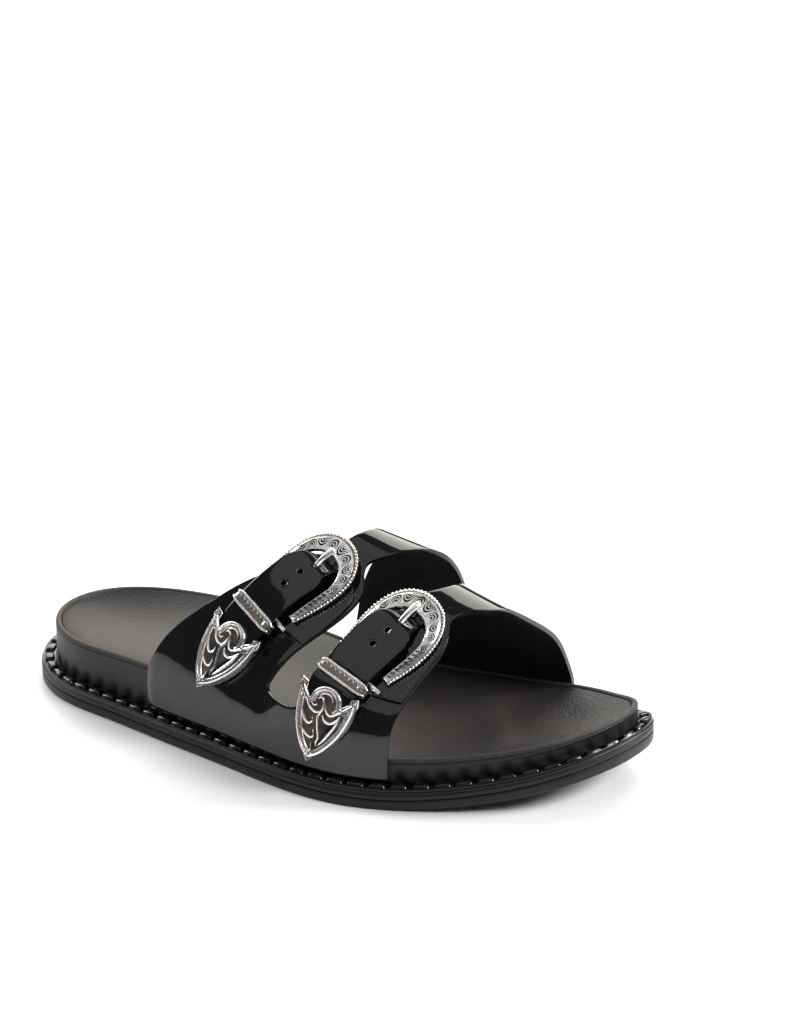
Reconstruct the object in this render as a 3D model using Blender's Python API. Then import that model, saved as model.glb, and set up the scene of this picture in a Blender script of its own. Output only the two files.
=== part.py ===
# Two-strap buckled mule, right shoe: +X towards the toe, +Y to the medial side, +Z up.
import math

import bmesh
import bpy
import numpy as np
from mathutils import Vector

MM = 0.001

# Sole
FOOTBED_LENGTH = 250 * MM
BALL_WIDTH = 100 * MM
LEDGE_WIDTH = 6.2 * MM
OUTSOLE_HEIGHT = 7.1 * MM
HEEL_WALL = 18 * MM
TOE_SPRING = 12.2 * MM
TOE_THICKENING = 1.3 * MM
HEEL_SPRING = 0.8 * MM
TREAD_DEPTH = 1.6 * MM
TREAD_PITCH = 12 * MM
TREAD_BORDER = 9 * MM
ARCH_RELIEF = 2.6 * MM
RIM_BEAD = 2.2 * MM
FOOTBED_DROP = 0.8 * MM
INSOLE_THICKNESS = 1.5 * MM
CUP_DEPTH = 8 * MM
ARCH_RISE = 4.5 * MM
TOE_BAR = 2.6 * MM
TOE_HOLLOW = 1.8 * MM

# Studded rand on the ledge
RAND_WIDTH = 5.2 * MM
RAND_BASE = 0.9 * MM
STUD_HEIGHT = 1.5 * MM
STUD_PITCH = 8.4 * MM

# Straps
STRAP_THICKNESS = 1.8 * MM
FRONT_ARCH_HEIGHT = 52 * MM
REAR_ARCH_HEIGHT = 62 * MM
FRONT_SWEEP = 21 * MM
REAR_SWEEP = 38 * MM
BACKING_THICKNESS = 1.2 * MM
BACKING_INSET = 0.6 * MM
TAIL_WIDTH = 19.2 * MM
TAIL_SIDE = -0.9 * MM
TAIL_THICKNESS = 1.4 * MM
TAIL_HOLE = 2.6 * MM
HOLE_PITCH = 7.5 * MM

# Metal
FRAME_HEIGHT = 2.8 * MM
FRAME_HALF_WIDTH = 14.45 * MM
FRAME_OPENING = 9.85 * MM
FRAME_LENGTH = 39.1 * MM
FRAME_END = 8.5 * MM
FRAME_CORNER = 19 * MM
CROWN_LIFT = 1.6 * MM
LEG_WIDTH = 2.6 * MM
LUG_LENGTH = 3.6 * MM
BAR_RADIUS = 0.9 * MM
BAR_LENGTH = 25.2 * MM
BAR_SIDE = 1.0 * MM
PRONG_RADIUS = 1.15 * MM
KEEPER_LENGTH = 5.0 * MM
KEEPER_WALL = 0.8 * MM
KEEPER_SIDE_GAP = 0.85 * MM
TIP_LENGTH = 27.8 * MM
TIP_WIDTH = 23 * MM
TIP_HEIGHT = 4.2 * MM
TIP_POCKET = 6 * MM

GAP = 0.3 * MM
PANEL_GAP = 0.5 * MM

STATIONS = 38
STRAP_ROWS = 40
FOOTBED_COLUMNS = 6


def table(columns, *rows):
    names = columns.split()
    return {name: np.array([row[k] for row in rows], float) for k, name in enumerate(names)}


# Plan of the footbed: how far it reaches to each side, as shares of the ball width
OUTLINE = table(
    "along lateral medial",
    (0.0, 0.0, 0.0),
    (0.04, -0.234, 0.228),
    (0.12, -0.350, 0.323),
    (0.22, -0.394, 0.340),
    (0.34, -0.446, 0.311),
    (0.46, -0.495, 0.293),
    (0.58, -0.545, 0.336),
    (0.68, -0.543, 0.410),
    (0.78, -0.452, 0.449),
    (0.87, -0.320, 0.441),
    (0.94, -0.180, 0.378),
    (0.985, -0.012, 0.303),
    (1.0, 0.162, 0.162),
)

# Height of the footbed's wall above the ledge, as shares of its height at the heel
WALL = table(
    "along height",
    (0.0, 0.96),
    (0.15, 1.0),
    (0.35, 1.04),
    (0.60, 0.66),
    (0.80, 0.60),
    (1.0, 0.49),
)

# Depth of the footbed's middle below its edge, as shares of the heel cup's depth
DISH = table(
    "along depth",
    (0.0, 0.0),
    (0.06, 0.62),
    (0.16, 1.0),
    (0.30, 0.80),
    (0.45, 0.42),
    (0.62, 0.36),
    (0.80, 0.34),
    (0.94, 0.26),
    (1.0, 0.0),
)

# Edge of the outsole from the floor up: height and inset as shares of its height
SOLE_EDGE = table(
    "height inset",
    (0.0, 0.12),
    (0.11, 0.0),
    (0.50, 0.0),
    (0.54, 0.10),
    (0.66, 0.10),
    (0.70, 0.0),
    (0.92, 0.0),
    (1.0, 0.07),
)

# Arch of each strap from its lateral to its medial end, as shares of the span and the arch height
FRONT_ARCH = table(
    "across height",
    (0.0, 0.0),
    (0.03, 0.319),
    (0.10, 0.492),
    (0.24, 0.709),
    (0.42, 0.951),
    (0.60, 0.977),
    (0.78, 0.744),
    (0.91, 0.483),
    (0.975, 0.184),
    (1.0, 0.0),
)
REAR_ARCH = table(
    "across height",
    (0.0, 0.0),
    (0.03, 0.168),
    (0.10, 0.375),
    (0.24, 0.621),
    (0.42, 0.832),
    (0.60, 1.024),
    (0.78, 0.960),
    (0.91, 0.590),
    (0.975, 0.257),
    (1.0, 0.0),
)

# Edges of each strap as shares of the footbed length, along the arch from lateral to medial
FRONT_EDGES = table(
    "along heelward toeward",
    (0.0, 0.594, 0.747),
    (0.09, 0.598, 0.747),
    (0.18, 0.609, 0.747),
    (0.30, 0.616, 0.747),
    (0.37, 0.628, 0.742),
    (0.43, 0.656, 0.726),
    (0.47, 0.666, 0.726),
    (0.53, 0.674, 0.742),
    (0.60, 0.666, 0.747),
    (0.70, 0.636, 0.748),
    (0.85, 0.608, 0.750),
    (1.0, 0.604, 0.752),
)
REAR_EDGES = table(
    "along heelward toeward",
    (0.0, 0.288, 0.516),
    (0.09, 0.312, 0.518),
    (0.18, 0.352, 0.529),
    (0.26, 0.382, 0.545),
    (0.34, 0.412, 0.550),
    (0.40, 0.440, 0.538),
    (0.45, 0.458, 0.516),
    (0.50, 0.464, 0.528),
    (0.56, 0.460, 0.538),
    (0.66, 0.428, 0.541),
    (0.82, 0.360, 0.532),
    (1.0, 0.318, 0.512),
)

# Each strap's profile: its arch, edges, greatest height with its fall per length, and forward sweep
STRAPS = {
    "rear": {"arch": REAR_ARCH, "edges": REAR_EDGES, "height": REAR_ARCH_HEIGHT, "fall": 0.193, "sweep": REAR_SWEEP},
    "front": {"arch": FRONT_ARCH, "edges": FRONT_EDGES, "height": FRONT_ARCH_HEIGHT, "fall": 0.425, "sweep": FRONT_SWEEP},
}
ARCH_PLACES = {"rear": 0.40 * FOOTBED_LENGTH, "front": 0.66 * FOOTBED_LENGTH}

# Where each belt crosses its strap: the bar's place, the belt's lean to the toe, the layer's start
BELTS = {
    "front": {"station": 0.662, "reach": 33 * MM, "lean": math.radians(10.8), "layer": -6.5 * MM},
    "rear": {"station": 0.451, "reach": 41 * MM, "lean": math.radians(12.1), "layer": -2.4 * MM},
}

# How the loose metal pieces of each belt sit: sideways, along the belt, turned in plan and tilted
SEATS = {
    "front": {
        "frame": {"side": 1.15 * MM, "turn": -0.026},
        "keeper": {"side": -0.5 * MM, "place": -5.4 * MM, "turn": 0.04, "tilt": 0.0},
        "tip": {"side": 0.6 * MM, "place": -22.3 * MM, "turn": 0.05, "tilt": -0.10},
    },
    "rear": {
        "frame": {"side": 0.7 * MM, "turn": 0.038},
        "keeper": {"side": -0.8 * MM, "place": -5.0 * MM, "turn": 0.0, "tilt": 0.0},
        "tip": {"side": -0.3 * MM, "place": -24.8 * MM, "turn": 0.022, "tilt": -0.08},
    },
}

# Places along a belt, measured from the bar towards the medial side
BAR_PLACE = -1.1 * MM
LEG_END = BAR_PLACE + BAR_RADIUS + GAP
PRONG_HOLE = 24.5 * MM
BACKING_END = 33 * MM
BACKING_ROUND = 9 * MM


def clear_scene():
    for item in list(bpy.data.objects):
        bpy.data.objects.remove(item, do_unlink=True)


def material(name, colour, roughness, metallic=0.0):
    made = bpy.data.materials.new(name)
    made.use_nodes = True
    shader = made.node_tree.nodes["Principled BSDF"]
    shader.inputs["Base Color"].default_value = (*colour, 1)
    shader.inputs["Roughness"].default_value = roughness
    shader.inputs["Metallic"].default_value = metallic
    return made


def natural_spline(knots, values):
    """A smooth curve through the values, as a function of one or many knots' places."""
    knots = np.asarray(knots, float)
    values = np.asarray(values, float)
    if values.ndim == 1:
        values = values[:, None]
    count = len(knots)
    step = np.diff(knots)
    matrix = np.eye(count)
    right = np.zeros_like(values)
    for k in range(1, count - 1):
        matrix[k, k - 1 : k + 2] = step[k - 1], 2 * (step[k - 1] + step[k]), step[k]
        slope_after = (values[k + 1] - values[k]) / step[k]
        slope_before = (values[k] - values[k - 1]) / step[k - 1]
        right[k] = 6 * (slope_after - slope_before)
    bend = np.linalg.solve(matrix, right)

    def curve(at):
        at = np.atleast_1d(np.asarray(at, float))
        k = np.clip(np.searchsorted(knots, at) - 1, 0, count - 2)
        width = step[k][:, None]
        before = (at - knots[k])[:, None]
        after = (knots[k + 1] - at)[:, None]
        return (
            bend[k] * after**3 / (6 * width)
            + bend[k + 1] * before**3 / (6 * width)
            + (values[k] / width - bend[k] * width / 6) * after
            + (values[k + 1] / width - bend[k + 1] * width / 6) * before
        )

    return curve


def turn_of(along):
    """The angle that stands for a share of the footbed's length, so that its ends come out round."""
    return np.arccos(np.clip(1 - 2 * np.asarray(along, float), -1, 1))


lateral_curve = natural_spline(turn_of(OUTLINE["along"]), OUTLINE["lateral"])
medial_curve = natural_spline(turn_of(OUTLINE["along"]), OUTLINE["medial"])
wall_curve = natural_spline(WALL["along"], WALL["height"])
dish_curve = natural_spline(DISH["along"], DISH["depth"])


def side_reach(curve, x):
    return float(curve(turn_of(x / FOOTBED_LENGTH))[0, 0]) * BALL_WIDTH


def toe_share(x):
    return max(0.0, (x / FOOTBED_LENGTH - 0.72) / 0.28) ** 2


def sole_lift(x):
    """How far the sole's underside lies above the floor: toe spring and a little heel spring."""
    heel = max(0.0, (0.10 - x / FOOTBED_LENGTH) / 0.10) ** 2 * HEEL_SPRING
    return toe_share(x) * (TOE_SPRING - TOE_THICKENING) + heel


def ledge_height(x):
    return sole_lift(x) + toe_share(x) * TOE_THICKENING + OUTSOLE_HEIGHT


def rim_height(x):
    along = min(max(x / FOOTBED_LENGTH, 0.0), 1.0)
    return ledge_height(x) + float(wall_curve(along)[0, 0]) * HEEL_WALL


def plan_ring(offset, stations=STATIONS):
    """The footbed's outline moved outwards: heel tip, lateral side, toe tip, medial side."""
    turns = np.linspace(0, math.pi, stations + 1)
    x = (1 - np.cos(turns)) / 2 * FOOTBED_LENGTH
    lateral = np.column_stack([x, lateral_curve(turns)[:, 0] * BALL_WIDTH])
    medial = np.column_stack([x, medial_curve(turns)[:, 0] * BALL_WIDTH])
    ring = np.vstack([lateral, medial[-2:0:-1]])
    ahead = np.roll(ring, -1, axis=0) - np.roll(ring, 1, axis=0)
    ahead /= np.linalg.norm(ahead, axis=1)[:, None]
    outward = np.column_stack([ahead[:, 1], -ahead[:, 0]])
    return ring + outward * offset


def lifted_ring(offset, height):
    """A plan ring with its heights from a function of x."""
    return [(x, y, height(x)) for x, y in plan_ring(offset)]


def new_rings(bm, loops):
    """Closed loops of equal length, joined in order by quads; returns their vertices."""
    rings = [[bm.verts.new(point) for point in loop] for loop in loops]
    for lower, upper in zip(rings, rings[1:]):
        count = len(lower)
        for k in range(count):
            after = (k + 1) % count
            bm.faces.new((lower[k], lower[after], upper[after], upper[k]))
    return rings


def close_across(bm, ring, inner=None, columns=1):
    """Closes a sole ring with rungs from its lateral to its medial side, with inner points."""
    count = len(ring)
    half = count // 2
    rows = []
    for k in range(half + 1):
        first, last = ring[k], ring[(count - k) % count]
        if k in (0, half):
            rows.append([first] * (columns + 1))
            continue
        row = [first]
        for j in range(1, columns):
            row.append(bm.verts.new(inner(first.co, last.co, j / columns)))
        row.append(last)
        rows.append(row)
    for row, after in zip(rows, rows[1:]):
        for j in range(columns):
            corners = [row[j], row[j + 1], after[j + 1], after[j]]
            kept = [v for i, v in enumerate(corners) if v not in corners[:i]]
            bm.faces.new(kept)


def add_object(name, bm, look):
    bmesh.ops.recalc_face_normals(bm, faces=bm.faces)
    mesh = bpy.data.meshes.new(name)
    bm.to_mesh(mesh)
    bm.free()
    mesh.materials.append(look)
    made = bpy.data.objects.new(name, mesh)
    bpy.context.scene.collection.objects.link(made)
    return made


def add_box(bm, centre, size):
    made = bmesh.ops.create_cube(bm, size=1.0)["verts"]
    for v in made:
        v.co = Vector(v.co[i] * size[i] + centre[i] for i in range(3))
    return made


def cut(target, cutter):
    cutter.hide_render = True
    cutter.display_type = "WIRE"
    modifier = target.modifiers.new("cut", "BOOLEAN")
    modifier.object = cutter
    modifier.operation = "DIFFERENCE"


def tread_cutter():
    """Pockets between the tread's bars at forefoot and heel, and the arch's shallow relief."""
    bm = bmesh.new()
    bar = TREAD_PITCH * 0.42
    pocket = TREAD_PITCH - bar
    for start, stop in ((0.10, 0.30), (0.50, 0.90)):
        count = int((stop - start) * FOOTBED_LENGTH / TREAD_PITCH)
        for k in range(count):
            x = start * FOOTBED_LENGTH + (k + 0.5) * TREAD_PITCH
            low = side_reach(lateral_curve, x) - LEDGE_WIDTH + TREAD_BORDER
            high = side_reach(medial_curve, x) + LEDGE_WIDTH - TREAD_BORDER
            top = sole_lift(x) + TREAD_DEPTH
            add_box(bm, (x, (low + high) / 2, top - 3 * TREAD_DEPTH), (pocket, high - low, 6 * TREAD_DEPTH))
    x = 0.40 * FOOTBED_LENGTH
    low = side_reach(lateral_curve, x) + TREAD_BORDER
    high = side_reach(medial_curve, x) - TREAD_BORDER
    size = (0.14 * FOOTBED_LENGTH, high - low, 2 * ARCH_RELIEF)
    add_box(bm, (x, (low + high) / 2, 0), size)
    return add_object("tread_cutter", bm, rubber)


def build_outsole():
    bm = bmesh.new()
    loops = []
    for share, inset in zip(SOLE_EDGE["height"], SOLE_EDGE["inset"]):
        offset = LEDGE_WIDTH - inset * OUTSOLE_HEIGHT
        loops.append(lifted_ring(offset, lambda x: sole_lift(x) * (1 - share) + ledge_height(x) * share))
    rings = new_rings(bm, loops)
    close_across(bm, rings[0])
    close_across(bm, rings[-1])
    made = add_object("outsole", bm, rubber)
    cut(made, tread_cutter())
    return made


def footbed_drop(x, across):
    """How far the footbed lies below its rim; across runs from 0, lateral, to 1, medial."""
    along = x / FOOTBED_LENGTH
    side = 2 * across - 1
    bowl = 1 - abs(side) ** 2.6
    depth = float(dish_curve(along)[0, 0]) * CUP_DEPTH * bowl
    arch = math.exp(-(((along - 0.40) / 0.10) ** 2)) * max(0.0, side) ** 1.5 * ARCH_RISE * bowl
    bar_line = 0.80 - 0.035 * side - 0.03 * math.sin(2.4 * side)
    bar = math.exp(-(((along - bar_line) / 0.034) ** 2)) * bowl * TOE_BAR
    hollow_at = ((along - 0.89) / 0.05) ** 2 + ((side - 0.42) / 0.34) ** 2
    hollow = math.exp(-hollow_at) * TOE_HOLLOW
    return FOOTBED_DROP + depth - arch - bar + hollow


def footbed_point(drop):
    """Places the inner points of a footbed surface that lies a set distance under the insole's top."""

    def inner(first, last, across):
        place = first.lerp(last, across)
        place.z = rim_height(place.x) - footbed_drop(place.x, across) - drop
        return place

    return inner


def build_midsole():
    bm = bmesh.new()
    foot = GAP + FOOTBED_DROP + INSOLE_THICKNESS
    loops = [
        lifted_ring(-1.0 * MM, lambda x: ledge_height(x) + GAP),
        lifted_ring(0, lambda x: ledge_height(x) + GAP + 1.0 * MM),
        lifted_ring(0, lambda x: rim_height(x) - 1.0 * MM),
        lifted_ring(-0.6 * MM, rim_height),
        lifted_ring(-RIM_BEAD, rim_height),
        lifted_ring(-RIM_BEAD - 0.2 * MM, lambda x: rim_height(x) - foot),
    ]
    rings = new_rings(bm, loops)
    close_across(bm, rings[0])
    close_across(bm, rings[-1], footbed_point(GAP + INSOLE_THICKNESS), FOOTBED_COLUMNS)
    return add_object("midsole", bm, matt_black)


def build_insole():
    bm = bmesh.new()
    edge = -RIM_BEAD - 0.2 * MM - GAP
    loops = [
        lifted_ring(edge, lambda x: rim_height(x) - FOOTBED_DROP - INSOLE_THICKNESS),
        lifted_ring(edge, lambda x: rim_height(x) - FOOTBED_DROP),
    ]
    rings = new_rings(bm, loops)
    close_across(bm, rings[0], footbed_point(INSOLE_THICKNESS), FOOTBED_COLUMNS)
    close_across(bm, rings[1], footbed_point(0), FOOTBED_COLUMNS)
    return add_object("insole", bm, footbed_cover)


def build_rand():
    """A strip on the ledge whose sections rise and fall to form a stud at every pitch."""
    dense = plan_ring(GAP + RAND_WIDTH / 2, 360)
    closed = np.vstack([dense, dense[:1]])
    run = np.concatenate([[0], np.cumsum(np.linalg.norm(np.diff(closed, axis=0), axis=1))])
    studs = round(run[-1] / STUD_PITCH)
    pitch = run[-1] / studs
    bm = bmesh.new()
    loops = []
    for k in range(studs):
        for share, crest in ((0.0, 0.0), (0.34, 1.0), (0.66, 1.0)):
            at = (k + share) * pitch
            place = np.array([np.interp(at, run, closed[:, i]) for i in (0, 1)])
            ahead = np.array([np.interp((at + MM) % run[-1], run, closed[:, i]) for i in (0, 1)]) - place
            ahead /= np.linalg.norm(ahead)
            outward = np.array([ahead[1], -ahead[0]])
            peak = RAND_BASE + crest * STUD_HEIGHT
            loop = []
            for out, rise in ((1, 0), (1, RAND_BASE), (0, peak), (-1, RAND_BASE), (-1, 0)):
                point = place + outward * out * RAND_WIDTH / 2
                loop.append((*point, ledge_height(point[0]) + GAP + rise))
            loops.append(loop)
    rings = new_rings(bm, loops + loops[:1])
    bmesh.ops.remove_doubles(bm, verts=rings[0] + rings[-1], dist=0.01 * MM)
    return add_object("rand", bm, gloss_rubber)


section_store = {}


def strap_section(station, blend):
    """Outer surface across the shoe at a lateral station; blend is 0 on the rear strap, 1 on the front."""
    key = (round(station / (0.01 * MM)), round(blend, 3))
    if key in section_store:
        return section_store[key]
    rear, front = STRAPS["rear"], STRAPS["front"]
    rear_height = rear["height"] - rear["fall"] * (station - ARCH_PLACES["rear"])
    front_height = front["height"] - front["fall"] * (station - ARCH_PLACES["front"])
    sweep = rear["sweep"] + (front["sweep"] - rear["sweep"]) * blend
    across = REAR_ARCH["across"]
    rise = rear_height * REAR_ARCH["height"] * (1 - blend) + front_height * FRONT_ARCH["height"] * blend
    far = station + sweep
    stand_off = PANEL_GAP + STRAP_THICKNESS
    near_y = side_reach(lateral_curve, station) - stand_off
    far_y = side_reach(medial_curve, far) + stand_off
    near_z, far_z = rim_height(station), rim_height(far)
    points = np.column_stack([
        station + sweep * across,
        near_y + (far_y - near_y) * across,
        near_z + (far_z - near_z) * across + rise,
    ])
    first = (station, near_y, panel_foot(station))
    last = (far, far_y, panel_foot(far))
    points = np.vstack([first, points, last])
    run = np.concatenate([[0], np.cumsum(np.linalg.norm(np.diff(points, axis=0), axis=1))])
    fine = natural_spline(run, points)(np.linspace(0, run[-1], 161))
    length = np.concatenate([[0], np.cumsum(np.linalg.norm(np.diff(fine, axis=0), axis=1))])
    lateral_rim = near_z - panel_foot(station)
    medial_rim = length[-1] - (far_z - panel_foot(far))
    section_store[key] = (fine, length, lateral_rim, medial_rim)
    return section_store[key]


def panel_foot(x):
    """Lower edge of the wall panels, just above the studs."""
    return ledge_height(x) + GAP + RAND_BASE + STUD_HEIGHT + GAP


def strap_point(blend, station, reach):
    """A point of the outer surface at a run above the lateral rim."""
    fine, length, lateral_rim, _ = strap_section(station, blend)
    return np.array([np.interp(lateral_rim + reach, length, fine[:, i]) for i in range(3)])


def strap_normal(blend, station, reach):
    along = strap_point(blend, station + MM, reach) - strap_point(blend, station - MM, reach)
    across = strap_point(blend, station, reach + 1.5 * MM) - strap_point(blend, station, reach - 1.5 * MM)
    normal = np.cross(along, across)
    return normal / np.linalg.norm(normal)


def arch_run(station, blend):
    _, _, lateral_rim, medial_rim = strap_section(station, blend)
    return medial_rim - lateral_rim


def strap_edge(edges, side, share):
    curve = natural_spline(edges["along"], edges[side])
    return float(curve(share)[0, 0]) * FOOTBED_LENGTH


def sheet_rows():
    """Row places: two on each wall, and even shares of the arch between the rims."""
    rows = [("lateral", 0.0), ("lateral", 0.5)]
    rows += [("arch", k / STRAP_ROWS) for k in range(STRAP_ROWS + 1)]
    return rows + [("medial", 0.5), ("medial", 0.0)]


def row_point(kind, share, station, blend):
    fine, length, lateral_rim, medial_rim = strap_section(station, blend)
    if kind == "lateral":
        run = lateral_rim * share
    elif kind == "medial":
        run = length[-1] - (length[-1] - medial_rim) * share
    else:
        run = lateral_rim + (medial_rim - lateral_rim) * share
    return [np.interp(run, length, fine[:, i]) for i in range(3)]


def build_upper():
    """Wall panels and both straps in one sheet, with a slot between the straps, then its wall."""
    strap_columns, web_columns = 5, 4
    lateral_slot, medial_slot = 3, STRAP_ROWS - 5
    bm = bmesh.new()
    grid = []
    for kind, share in sheet_rows():
        arch = share if kind == "arch" else float(kind == "medial")
        rear = [strap_edge(REAR_EDGES, side, arch) for side in ("heelward", "toeward")]
        front = [strap_edge(FRONT_EDGES, side, arch) for side in ("heelward", "toeward")]
        stations = list(np.linspace(*rear, strap_columns + 1))
        stations += list(np.linspace(rear[1], front[0], web_columns + 1)[1:-1])
        stations += list(np.linspace(*front, strap_columns + 1))
        index = round(arch * STRAP_ROWS)
        row = []
        for column, station in enumerate(stations):
            in_web = (column - strap_columns) / web_columns
            dip = 0.0
            if kind == "arch" and 0 < in_web < 1:
                depth = 0.3 * math.sin(math.pi * in_web) / STRAP_ROWS
                dip = -depth if index == lateral_slot else depth if index == medial_slot else 0.0
            is_open = kind == "arch" and lateral_slot < index < medial_slot
            if is_open and 0 < in_web < 1:
                row.append(None)
            else:
                eased = min(max(in_web, 0.0), 1.0)
                blend = eased * eased * (3 - 2 * eased)
                row.append(bm.verts.new(row_point(kind, share + dip, station, blend)))
        grid.append(row)
    for row, after in zip(grid, grid[1:]):
        for j in range(len(row) - 1):
            corners = (row[j], row[j + 1], after[j + 1], after[j])
            in_slot = strap_columns <= j < strap_columns + web_columns
            if None in corners or (in_slot and row[strap_columns + 1] is None):
                continue
            bm.faces.new(corners)
    made = add_object("upper", bm, patent)
    wall = made.modifiers.new("wall", "SOLIDIFY")
    wall.thickness = STRAP_THICKNESS
    wall.offset = -1
    wall.use_even_offset = False
    return made


# The belt's line reaches past its tip on one side and past the frame's crown on the other
BELT_SPAN = (-TIP_LENGTH / 2 - 26 * MM, FRAME_LENGTH + 11 * MM)


class Belt:
    """The line that one buckle's belt follows over its strap, with directions at every place."""

    def __init__(self, name):
        self.name = name
        place = BELTS[name]
        self.blend = float(name == "front")
        self.edges = STRAPS[name]["edges"]
        self.layer = place["layer"]
        self.station = place["station"] * FOOTBED_LENGTH
        self.reach = place["reach"]
        self.lean = place["lean"]
        steps = np.linspace(*BELT_SPAN, 91)
        points = np.array([strap_point(self.blend, *self.spot(step)) for step in steps])
        up = np.array([strap_normal(self.blend, *self.spot(step)) for step in steps])
        for _ in range(12):
            up[1:-1] = (up[:-2] + 2 * up[1:-1] + up[2:]) / 4
        ahead = np.gradient(points, axis=0)
        self.points = points
        self.ahead = ahead / np.linalg.norm(ahead, axis=1)[:, None]
        self.up = up / np.linalg.norm(up, axis=1)[:, None]
        run = np.concatenate([[0], np.cumsum(np.linalg.norm(np.diff(points, axis=0), axis=1))])
        self.run = run - np.interp(0, steps, run)
        self.steps = steps

    def spot(self, step):
        """Station and reach of a place on the line."""
        return self.station + math.sin(self.lean) * step, self.reach + math.cos(self.lean) * step

    def directions(self, along):
        """Across, ahead and up at a place, square to each other."""
        ahead = np.array([np.interp(along, self.run, self.ahead[:, i]) for i in range(3)])
        up = np.array([np.interp(along, self.run, self.up[:, i]) for i in range(3)])
        across = np.cross(ahead, up)
        across /= np.linalg.norm(across)
        up = np.cross(across, ahead)
        return across, ahead / np.linalg.norm(ahead), up / np.linalg.norm(up)

    def wrap(self, point):
        """From across, along and height above the strap to the shoe's frame, following the belt's line."""
        c, a, h = point
        centre = np.array([np.interp(a, self.run, self.points[:, i]) for i in range(3)])
        across, _, up = self.directions(a)
        return centre + across * c + up * h

    def seat(self, along, height, side=0.0, turn=0.0, tilt=0.0):
        """The same for a rigid piece that sits at one place, with its own across, ahead and up."""
        across, ahead, up = self.directions(along)
        centre = self.wrap((side, along, height))
        ahead, up = ahead * math.cos(tilt) + up * math.sin(tilt), up * math.cos(tilt) - ahead * math.sin(tilt)
        across, ahead = across * math.cos(turn) + ahead * math.sin(turn), ahead * math.cos(turn) - across * math.sin(turn)

        def place(point):
            c, a, h = point
            return centre + across * c + ahead * a + up * h

        return place


def place_all(bm, place):
    for v in bm.verts:
        v.co = Vector(place(v.co))


def build_backing(name, belt):
    """The strap layer that carries the buckle, following the strap from edge to edge."""
    bm = bmesh.new()
    rows, columns = 11, 6
    layers = []
    for height in (GAP, GAP + BACKING_THICKNESS):
        grid = []
        for along in np.linspace(belt.layer, BACKING_END, rows):
            station, reach = belt.spot(np.interp(along, belt.run, belt.steps))
            share = reach / arch_run(station, belt.blend)
            rounding = max(0.0, along - BACKING_END + BACKING_ROUND) / (BACKING_ROUND + BACKING_INSET)
            width = math.sqrt(1 - rounding * rounding)
            low = station + (strap_edge(belt.edges, "heelward", share) + BACKING_INSET - station) * width
            high = station + (strap_edge(belt.edges, "toeward", share) - BACKING_INSET - station) * width
            row = []
            for at in np.linspace(low, high, columns):
                spot = (belt.blend, at, reach - (at - station) * math.tan(belt.lean))
                row.append(bm.verts.new(strap_point(*spot) + strap_normal(*spot) * height))
            grid.append(row)
        layers.append(grid)
    lower, upper = layers
    for grid in layers:
        for row, after in zip(grid, grid[1:]):
            for j in range(columns - 1):
                bm.faces.new((row[j], row[j + 1], after[j + 1], after[j]))
    border = [(0, j) for j in range(columns)]
    border += [(i, columns - 1) for i in range(1, rows)]
    border += [(rows - 1, j) for j in range(columns - 2, -1, -1)]
    border += [(i, 0) for i in range(rows - 2, 0, -1)]
    for (i, j), (k, m) in zip(border, border[1:] + border[:1]):
        bm.faces.new((lower[i][j], lower[k][m], upper[k][m], upper[i][j]))
    return add_object(name, bm, patent)


# Heights above the strap: undersides of frame, tip and keeper, and the bar's middle
FRAME_SEAT = GAP + BACKING_THICKNESS + 0.7 * MM
TIP_SEAT = 0.8 * MM
BAR_SEAT = GAP + BACKING_THICKNESS + 1.5 * GAP + BAR_RADIUS
KEEPER_SEAT = BAR_SEAT + BAR_RADIUS - KEEPER_WALL - TAIL_THICKNESS / 2 - GAP
KEEPER_OPENING = TAIL_THICKNESS + 5 * GAP
KEEPER_HEIGHT = KEEPER_OPENING + 2 * KEEPER_WALL

# The belt inside the frame: place along as a share of the frame's length, height of its middle
# above the strap as a share of the frame's height, and shares of its width and sideways place
TAIL_RISE = table(
    "along height width side",
    (-0.024, 1.82, 1.0, 1.0),
    (0.09, 2.19, 1.0, 1.0),
    (0.20, 2.44, 1.0, 1.0),
    (0.32, 2.62, 1.0, 1.0),
    (0.435, 2.68, 1.0, 1.0),
    (0.54, 2.52, 0.86, 0.9),
    (0.60, 2.24, 0.68, 0.5),
    (0.665, 1.62, 0.55, 0.1),
    (0.731, 0.94, 0.49, 0.0),
    (0.818, 0.94, 0.56, 0.0),
    (0.941, 0.82, 0.66, 0.0),
)
# Middle line of the prong, likewise, from the bar to the frame's crown
PRONG_RISE = table(
    "along height",
    (0.003, 1.06),
    (0.179, 1.06),
    (0.358, 1.18),
    (0.486, 1.40),
    (0.563, 1.75),
    (0.640, 2.35),
    (0.716, 2.84),
    (0.780, 2.93),
    (0.834, 2.93),
)


def crown_lift(along):
    """How much higher the frame lies above the strap at a place, rising towards its crown."""
    share = min(max((along / FRAME_LENGTH - 0.2) / 0.67, 0.0), 1.0)
    return share * share * (3 - 2 * share) * CROWN_LIFT


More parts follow.
